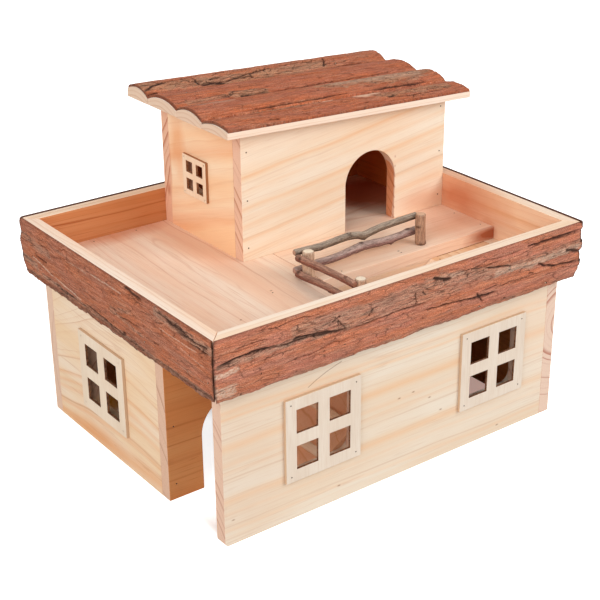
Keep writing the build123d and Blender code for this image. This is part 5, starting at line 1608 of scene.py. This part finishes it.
BOARD_FINISHES: dict[str, PineFinish] = {
    "front_wall": PineFinish("front_wall_pine", Grain.ALONG_X, (0, 0, 0), (0, 200, -140), (0, -0.4, 0), srgb(0xE8DCCB),
        srgb(0xE4C6A4), srgb(0xE4C0A8), srgb(0xC89882), 5.2, 6, late_share=0.26, fibre_share=0.2, hair_share=0.3,
        streaks=((116, 3, 0.5), (111, 2.5, 0.6), (87, 6, 0.6), (72, 3, 0.3), (64, 2.5, 0.3), (40, 6, 0.5), (28, 3,
        0.25), (14, 2, 0.5)), streak_colour=srgb(0xECC092), blush=srgb(0xFAE8D6), patches=tuple(Patch((x, 0, z), (2.2,
        3, 1), srgb(0x966446), 0.7, 0.2) for x, z in ((172, 72), (187, 73), (205, 62), (218, 46), (110, 13), (8, 22),
        (286, 7))) + (Patch((20, 0, 60), (60, 8, 110), srgb(0xE2C4AC), 0.25), Patch((330, 0, 90), (50, 8, 90),
        srgb(0xFAE8D6), 0.5)), checks=(Check(((80, 0, 113), (88, 0, 117), (98, 0, 121), (112, 0, 125)), 0.5, 0.75),)),
    # Painted shade: the back wall's inside face takes a warmer, darker tint.
    "back_wall": PineFinish("back_wall_pine", Grain.ALONG_X, (0, 275.7, 0), (0, -120, 60), (0, 0.6, 0), srgb(0xF0DCC2),
        srgb(0xE2BC96), srgb(0xE4C2AA), srgb(0xC4927C), 6, 8, streaks=((100, 8, 0.4), (40, 6, 0.4)),
        shade_and_under_bark_tints=((FACE_FRONT, srgb(0xF4B47C)),), patches=(Patch((230, 275.7, 78), (13, 12, 8), srgb(0x96542E), 0.9, 0.5),
        Patch((230, 275.7, 78), (40, 12, 18), srgb(0xDEA470), 0.5))),
    # Painted shade: the left wall's inside face takes a warmer, darker tint.
    "left_wall": PineFinish("left_wall_pine", Grain.ALONG_Y, (0, 0, 0), (0, -160, -60), (0, 0, 0), srgb(0xF1DCC4),
        srgb(0xE2B892), srgb(0xE2BEA4), srgb(0xC4947A), 6.4, 7, 4.5e-5, 140, 0.45, streaks=((9, 12, 0.7), (27, 4,
        0.5), (46, 4, 0.45), (56, 3, 0.45), (66, 4, 0.4), (88, 3, 0.2)), streak_colour=srgb(0xE8AC76),
        blush=srgb(0xFAE6C4), patches=(Patch((0, 200, 4), (8, 60, 22), srgb(0xEAAA70), 0.35),), shade_and_under_bark_tints=((FACE_RIGHT,
        srgb(0xF0B47E)),)),
    # Painted shade: the right wall's inside face takes a warmer, darker tint.
    "right_wall": PineFinish("right_wall_pine", Grain.ALONG_Y, (350, 0, 0), (0, -12, 87), (0, 0, 0), srgb(0xF0DCC2),
        srgb(0xE4BE96), srgb(0xE6CAB6), srgb(0xBC8470), 5.6, 3, streaks=(), late_share=0.5, patches=(Patch((350, 150,
        70), (10, 9, 6), srgb(0x96542E), 0.9, 0.5),), shade_and_under_bark_tints=((FACE_LEFT, srgb(0xF0AC72)),)),
    # Painted shade: both faces of the partition take a warmer, darker tint; painted light: a pale band along the top
    # of its front face.
    "corridor_partition": PineFinish("partition_pine", Grain.ALONG_X, (0, 86, 0), (0, -281, 242), (0, -2, 0),
        srgb(0xECCEAC), srgb(0xD0986A), srgb(0xDEB89E), srgb(0xB07C64), 9, 5, late_share=0.5, shade_and_under_bark_tints=((FACE_FRONT,
        srgb(0xEEBE92)), (FACE_BACK, srgb(0xF0B076))), patches=(Patch((232, 80.5, 142), (100, 6, 20), srgb(0xFFF7E2),
        1, 0.85),)),
    # Painted shade: a warmer orange over the ramp's lower part and on its underside.
    "ramp_board": PineFinish("ramp_pine", Grain.ALONG_X, (50, 40, 0), (0, 40, -200), (0, 0, 0), srgb(0xFCE8D4),
        srgb(0xE8B892), patches=(Patch((110, 45, 45), (110, 80, 80), srgb(0xF4A868), 0.6, 0.5),), shade_and_under_bark_tints=((FACE_DOWN,
        srgb(0xF0B47C)),)),
    # Painted shade: a dark patch at the landing's front right corner.
    "landing_board": PineFinish("landing_pine", Grain.ALONG_Y, (300, 0, 130), (0, 60, -80), (0, 0, 0), srgb(0xF0D0AE),
        srgb(0xD6A074), srgb(0xE8BE9C), srgb(0xB47858), 5, patches=(Patch((344, 76, 158), (26, 8, 14),
        srgb(0xB46440), 0.9, 0.3), Patch((335, 90, 164.5), (40, 34, 4), srgb(0xD6A084), 0.5))),
    "ramp_bearer": PineFinish("bearer_pine", Grain.ALONG_Y, (280, 0, 120), (0, 4, 9), (0, 0, 0), srgb(0xECC6A0),
        srgb(0xC88C60), srgb(0xE6BA96), srgb(0xAA6E4E), 3.4, 2),
    # Painted shadow: a darker band along the cabin's left wall, and a darker patch near the back rim.
    "terrace_floor_left": PineFinish("terrace_left_pine", Grain.ALONG_Y, (88, 40, 153), (0, 0, -46), (0, 0, 1.5),
        srgb(0xFAE4D0), srgb(0xE2B096), srgb(0xE6BEA4), srgb(0xC48E76), 4.6, 8, 1.2e-5, 120, 0.26,
        blush=srgb(0xFCE0CE), fibre_share=0.35, hair_share=0.5, patches=(Patch((113, 200, 153), (26, 150, 8),
        srgb(0xEEC4A8), 0.5), Patch((72, 274, 153), (64, 22, 5), srgb(0xD89874), 0.7), Patch((60, 60, 153), (1.2, 1.2,
        2), srgb(0x78503C), 0.8), Patch((110, 90, 153), (1.6, 1, 2), srgb(0x82543E), 0.7))),
    # Painted shade: a warmer underside, an orange patch on the floor inside the cabin, and a dark patch at the cut end
    # by the right rim.
    "terrace_floor_right": PineFinish("terrace_right_pine", Grain.ALONG_X, (160, 120, 153), (0, 60, -60), (0, 0, 1),
        srgb(0xFAE0CA), srgb(0xE8BA9E), srgb(0xE2BAA0), srgb(0xBE8C74), 5, 7, 1e-5, 80, 0.25,
        blush=srgb(0xFAE2D0), fibre_share=0.3, hair_share=0.35, shade_and_under_bark_tints=((FACE_DOWN, srgb(0xF0B47E)),),
        patches=(Patch((318, 218, 153), (52, 52, 8), srgb(0xCE6E3A), 0.85, 0.5), Patch((245, 90, 153), (1.6, 1.2, 2),
        srgb(0x784E3A), 0.8), Patch((346, 80.5, 147), (34, 5, 11), srgb(0xB0603A), 0.95, 0.3), Patch((322, 112, 153),
        (48, 46, 5), srgb(0xD89C7E), 0.55))),
    # Painted shade: a darker patch low down at the right end, and orange on the doorway's right jamb.
    "cabin_front": PineFinish("cabin_front_pine", Grain.ALONG_X, (124.8, 151.2, 153), (0, 240, -160), (0, 7.5, 0),
        srgb(0xF6E8D4), srgb(0xEAC298), srgb(0xECC4AA), srgb(0xC68E70), 6, 7, late_share=0.16, fibre_share=0.25,
        hair_share=0.25, streaks=((74, 3, 0.6), (60, 2, 0.3), (46, 3.5, 0.6), (31, 2.5, 0.45), (19, 2.5, 0.4), (4, 4,
        0.4)), streak_colour=srgb(0xF0C08C), blush=srgb(0xFCE8D4), patches=(Patch((326, 151.2, 163), (40, 8, 16),
        srgb(0xE4AA88), 0.5), Patch((292, 160, 190), (4, 8, 60), srgb(0xE29058), 0.8, 0.8)),
        checks=tuple(Check(((291.3, 164.5, z), (291.3, 150.5, z - 13)), 1.3, 0.5, srgb(0xAA582C)) for z in (166, 176,
        186, 196, 206, 216, 225))),
    # Painted shade: the cabin back's inside face takes a warmer, darker tint.
    "cabin_back": PineFinish("cabin_back_pine", Grain.ALONG_X, (124.8, 275.7, 153), (0, -200, -40), (0, 1, 0),
        srgb(0xF2D4B2), srgb(0xE2B282), srgb(0xEABC9E), srgb(0xBE7A5C), 6, 8, shade_and_under_bark_tints=((FACE_FRONT,
        srgb(0xF09E60)),), patches=(Patch((200, 275.7, 215), (11, 10, 7), srgb(0x96542E), 0.9, 0.5), Patch((124.8, 268,
        185), (6, 4, 8), srgb(0xC47854), 0.6))),
    # Painted shade: the cabin's left wall takes a warmer, darker tint on its inside face.
    "cabin_left_wall": PineFinish("cabin_left_pine", Grain.ALONG_Y, (124.8, 264, 153), (0, -180, -60), (19, 0, 0),
        srgb(0xFCE2C2), srgb(0xF0BC8C), srgb(0xECBEA0), srgb(0xC48E70), 6.2, 9, late_share=0.4, fibre_share=0.2,
        hair_share=0.15, streaks=((2, 6, 0.6), (60, 10, 0.4)), streak_colour=srgb(0xEEA46C), blush=srgb(0xFCDCBA),
        patches=(Patch((124.8, 250, 230), (8, 16, 34), srgb(0xEEB07C), 0.6), Patch((124.8, 267, 205), (6, 6, 44),
        srgb(0xCE784E), 0.75)), shade_and_under_bark_tints=((FACE_RIGHT, srgb(0xECA064)),)),
    # Painted shade: the cabin's right wall takes a warmer, darker tint on its inside face.
    "cabin_right_wall": PineFinish("cabin_right_pine", Grain.ALONG_Y, (350, 160, 153), (0, 150, -60), (1, 0, 0),
        srgb(0xF4D6B4), srgb(0xE4B482), shade_and_under_bark_tints=((FACE_LEFT, srgb(0xEC9254)),)),
    # Painted shade: a darker tint on the inner face; the outer face takes the colour under the bark.
    "rim_front": PineFinish("rim_front_wood", Grain.ALONG_X, (0, -5, 184), (0, 20, -90), (0, 0, 0.3), srgb(0xFEEEDC),
        srgb(0xF0CAA4), srgb(0xECC8B0), late_share=0.35, shade_and_under_bark_tints=((FACE_BACK, srgb(0xF4D6BE)), (FACE_FRONT,
        UNDER_BARK))),
    # Painted shade: a darker orange tint on the inner face; the outer face takes the colour under the bark.
    "rim_back": PineFinish("rim_back_wood", Grain.ALONG_X, (0, 280, 150), (0, -160, -120), (0, -1, 0),
        srgb(0xFCE8D2), srgb(0xE8BA8C), srgb(0xECC8B0), late_share=0.5, streaks=((25, 5, 0.4),), hair_share=0.9,
        shade_and_under_bark_tints=((FACE_FRONT, srgb(0xD4A27C)), (FACE_BACK, UNDER_BARK))),
    # Painted shade: a darker tint on the inner face; the outer face takes the colour under the bark.
    "rim_left": PineFinish("rim_left_wood", Grain.ALONG_Y, (-5, 0, 184), (0, 20, -90), (0, 0, 0.4), srgb(0xFEEAD8),
        srgb(0xECC4A0), srgb(0xECC8B0), late_share=0.35, shade_and_under_bark_tints=((FACE_RIGHT, srgb(0xF6D8BE)), (FACE_LEFT,
        UNDER_BARK))),
    # Painted shade: a slight tint and orange-brown patches on the inner face, darkest below the terrace board's end;
    # the outer face takes the colour under the bark.
    "rim_right": PineFinish("rim_right_wood", Grain.ALONG_Y, (350, 0, 150), (0, -160, -100), (1.2, 0, 0),
        srgb(0xFCE8D4), srgb(0xE8B88E), srgb(0xECC8B0), late_share=0.45, streaks=((20, 4, 0.3),), shade_and_under_bark_tints=((FACE_LEFT,
        srgb(0xFCECDE)), (FACE_RIGHT, UNDER_BARK)), hair_share=0.3, patches=(Patch((350, 126, 166), (16, 76, 40),
        srgb(0xCE8A68), 0.95, 0.15), Patch((350, 88, 148), (12, 13, 11), srgb(0xCE8056), 0.6))),
    # Painted shade: a warmer, darker tint on each slab's underside.
    **{f"roof_slab_{n}": PineFinish(f"roof_slab_wood_{n}", Grain.ALONG_X, (105, y, 268), (0, 2, -30 - 4 * n), (0,
        -2.64, 0), srgb(0xF8F0E8), srgb(0xECD4BC), srgb(0xE4C8B0), srgb(0xD6B296), 3.6, 2.5, late_share=0.4,
        shade_and_under_bark_tints=((FACE_DOWN, srgb(0xECBE96)),)) for n, y in ((1, 281), (2, 241), (3, 198), (4, 159))},
}
PLY_FINISHES: dict[str, PlywoodFinish] = {
    "front_window_left": PlywoodFinish("left_front_window_ply", FACE_FRONT, (93.0, 0.0, 72.5)),
    "front_window_right": PlywoodFinish("right_front_window_ply", FACE_FRONT, (274.0, 0.0, 74.0)),
    "left_window": PlywoodFinish("side_window_ply", FACE_LEFT, (0.0, 178.0, 67.7), face=srgb(0xECDAC4),
                                 shade=srgb(0xE2CAB0)),
    "cabin_window": PlywoodFinish("cabin_window_ply", FACE_LEFT, (124.8, 219.8, 209.6), 18.4, srgb(0xF8E0C4),
                                  srgb(0xECCAA8), srgb(0x965C3A), srgb(0xB8805A), srgb(0xA87450)),
}


@dataclass
class EasedBoards:
    """Boards whose sharp corners are lightly eased, in place of the nodes."""

    ease: float = 0.45
    steps: int = 2
    sharp: float = 35.0
    shortest: float = 2.0

    def eased_edges(self, work: bmesh.types.BMesh) -> list[bmesh.types.BMEdge]:
        """Returns the outer corners that a sanding block would reach, without the mouths of nail holes."""
        corners = {edge for edge in work.edges if edge.is_manifold
                   and edge.calc_face_angle_signed(0.0) > math.radians(self.sharp)}

        def runs_on(edge: bmesh.types.BMEdge) -> bool:
            """Tells whether a short corner carries on nearly straight at both of its ends."""
            for vertex in edge.verts:
                line = (edge.other_vert(vertex).co - vertex.co).normalized()
                others = [o for o in vertex.link_edges if o is not edge and o in corners]
                if not any((vertex.co - o.other_vert(vertex).co).normalized().dot(line) > 0.7 for o in others):
                    return False
            return True

        return [edge for edge in corners if edge.calc_length() > self.shortest * MM or runs_on(edge)]

    def build(self, name: str, node: Piece, material: Material, slot: str) -> Piece:
        """Returns one board with eased corners.

        Args:
            name: Name of the node that it stands for.
            node: The sharp board.
            material: Its finish.
            slot: Not used.

        Returns:
            The board, riding in place of its node.
        """
        work = bmesh.new()
        work.from_mesh(node.data)
        bmesh.ops.remove_doubles(work, verts=work.verts, dist=1e-6)
        bmesh.ops.dissolve_limit(work, angle_limit=math.radians(0.5), verts=work.verts, edges=work.edges)
        bmesh.ops.bevel(work, geom=self.eased_edges(work), offset=self.ease * MM, offset_type="OFFSET",
                        segments=self.steps, profile=0.5, affect="EDGES", clamp_overlap=True, harden_normals=False)
        mesh = bpy.data.meshes.new(f"{name}_eased")
        for face in work.faces:
            face.smooth = face.calc_area() < 20 * MM * MM
        work.to_mesh(mesh)
        work.free()
        mesh.materials.append(material)
        return hand_over(link_object(f"{name}_eased", mesh), name)


# ---------------- studio
@dataclass
class Studio:
    """Pale floor, soft lamps and the camera."""

    camera_place: Point = (-0.64639, -0.87549, 0.6124)
    camera_turn: tuple[float, float, float] = (65.04, 0.0, -37.595)
    lens: float = 81.78
    shift: Spot = (-0.0476, -0.0011)
    aim: Point = (0.0, 0.0, 0.15)
    world_strength: float = 0.55
    to_eye: Colour = (0.85, 0.85, 0.85)
    floor_size: float = 12.0

    def camera(self) -> None:
        """Adds the camera, set as the scene's own."""
        data = bpy.data.cameras.new("camera")
        data.sensor_width, data.lens = 36.0, self.lens
        data.shift_x, data.shift_y = self.shift
        data.clip_start, data.clip_end = 0.01, 50.0
        camera = link_object("camera", data)
        camera.location = self.camera_place
        camera.rotation_euler = tuple(math.radians(a) for a in self.camera_turn)
        bpy.context.scene.camera = camera

    def lamp(self, name: str, place: Point, size: float, power: float) -> None:
        """Adds a square soft white lamp that faces the house.

        Args:
            name: Name of the lamp.
            place: Where it hangs, in metres.
            size: Side of the lamp, in metres.
            power: Power in watts.
        """
        data = bpy.data.lights.new(name, "AREA")
        data.size, data.energy = size, power
        lamp = link_object(name, data)
        lamp.location = place
        lamp.rotation_euler = (Vector(self.aim) - Vector(place)).to_track_quat("-Z", "Y").to_euler()

    def white_to_eye(self, net: Graph, shader: Socket) -> Socket:
        """Returns a shader that shows as plain white to the camera, in reflections and through glass."""
        path = net.add("ShaderNodeLightPath")
        seen = net.plus(path.outputs["Is Camera Ray"], path.outputs["Is Glossy Ray"])
        seen = net.plus(seen, path.outputs["Is Transmission Ray"], clamp=True)
        white = net.add("ShaderNodeBackground", {"Color": (1.0, 1.0, 1.0), "Strength": 1.0})
        return net.add("ShaderNodeMixShader", {0: seen, 1: shader, 2: white.outputs[0]}).outputs[0]

    def world(self) -> None:
        """Fills the world with even white light."""
        world = bpy.data.worlds.new("studio")
        world.use_nodes = True
        world.node_tree.nodes.clear()
        net = Graph(world.node_tree)
        light = net.add("ShaderNodeBackground", {"Color": (1.0, 0.985, 0.965), "Strength": self.world_strength})
        net.add("ShaderNodeOutputWorld", {0: self.white_to_eye(net, light.outputs[0])})
        bpy.context.scene.world = world

    def lift(self, net: Graph) -> Socket:
        """Returns how much the floor is lifted to the eye: nearly white, less in the shade inside the house."""
        place = net.millimetres(net.add("ShaderNodeTexCoord"))
        sides = net.split(place)
        inside = net.times(net.remap(sides[0], 0.0, 10.0), net.remap(sides[0], HOUSE[0], HOUSE[0] - 10.0))
        inside = net.times(inside, net.times(net.remap(sides[1], 0.0, 10.0),
                                             net.remap(sides[1], HOUSE[1], HOUSE[1] - 10.0)))
        # Painted light: inside the house the floor glows almost white near the left end, fades to a faint red glow
        # further in, and glows pale pink towards the right end.
        from_door = net.vector("DISTANCE", place, (55.0, 120.0, 0.0))
        shade = net.mix(net.remap(from_door, 60.0, 125.0), self.to_eye, (0.06, 0.02, 0.0))
        shade = net.mix(net.remap(sides[0], 240.0, 300.0), shade, (0.40, 0.27, 0.235))
        return net.mix(inside, self.to_eye, shade)

    def floor(self) -> None:
        """Lays the pale floor."""
        mesh = bpy.data.meshes.new("floor")
        h = self.floor_size / 2
        mesh.from_pydata([(-h, -h, 0), (h, -h, 0), (h, h, 0), (-h, h, 0)], [], [(0, 1, 2, 3)])
        floor = link_object("floor", mesh)
        material = bpy.data.materials.new("floor_paper")
        material.use_nodes = True
        material.node_tree.nodes.clear()
        net = Graph(material.node_tree)
        paper = net.add("ShaderNodeBsdfDiffuse", {"Color": (0.72, 0.715, 0.71)})
        bright = net.add("ShaderNodeBsdfDiffuse", {"Color": (0.97, 0.97, 0.97)})
        lift = net.add("ShaderNodeEmission", {"Color": self.lift(net), "Strength": 1.0})
        white = net.add("ShaderNodeAddShader", {0: bright.outputs[0], 1: lift.outputs[0]})
        seen = net.add("ShaderNodeLightPath").outputs["Is Camera Ray"]
        surface = net.add("ShaderNodeMixShader", {0: seen, 1: paper.outputs[0], 2: white.outputs[0]})
        net.add("ShaderNodeOutputMaterial", {"Surface": surface.outputs[0]})
        mesh.materials.append(material)

    def build(self) -> None:
        """Sets up camera, light, floor and the way that colours are shown."""
        bpy.context.scene.view_settings.view_transform = "Standard"
        self.camera()
        self.world()
        self.floor()
        self.lamp("key", (1.0, -1.9, 1.45), 1.3, 28.0)
        self.lamp("fill", (-1.9, -0.8, 1.1), 1.6, 25.0)


def report(piece: Piece) -> None:
    """Logs a finished piece."""
    log.info("%s: %d faces", piece.name, len(piece.data.polygons))


def main() -> None:
    """Builds the studio and dresses every piece."""
    logging.basicConfig(level=logging.INFO, format="%(message)s")
    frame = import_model()
    Studio().build()
    nodes = frame["nodes"]
    boards = EasedBoards()
    made: dict[str, Material] = {}
    for name, finish in {**BOARD_FINISHES, **PLY_FINISHES}.items():
        made[finish.name] = made.get(finish.name) or finish.material()
        slot = "plywood" if name in PLY_FINISHES else "half_log_wood" if name.startswith(("rim", "roof")) else "pine"
        report(boards.build(name, nodes[name], made[finish.name], slot))
    treads = PineFinish("tread_pine", Grain.ALONG_Y, (60, 10, 5), (0, 20, -20), (0, 0, 0), srgb(0xFCE8D0),
                        srgb(0xF0C8A0), ring_width=3.0, waver=2.0)
    report(RampRungs().build(treads.material()))
    steel = WireFinish("brad_steel").material()
    brads = Brads()
    for name in [name for name in nodes if name.endswith(("nails", "pins"))]:
        report(brads.build(name, nodes[name], steel))
    front_bark = BarkFinish("front_bark", srgb(0xE6957A), srgb(0xF1956C), srgb(0xC0755D)).material()
    side_bark = BarkFinish("side_bark", srgb(0xD38566), srgb(0xDD855C), srgb(0xB0694E)).material()
    roof_bark = BarkFinish("roof_bark", srgb(0xE28664), srgb(0xED8759), srgb(0xBC684A), srgb(0xE0B894)).material()
    for skin in (*RIM_BARKS, *ROOF_BARKS):
        on_roof = isinstance(skin, RoofBark)
        report(skin.build(roof_bark if on_roof else front_bark if skin.side is Side.FRONT else side_bark))
    for piece in TwigFence().build():
        report(piece)


if __name__ == "__main__":
    main()
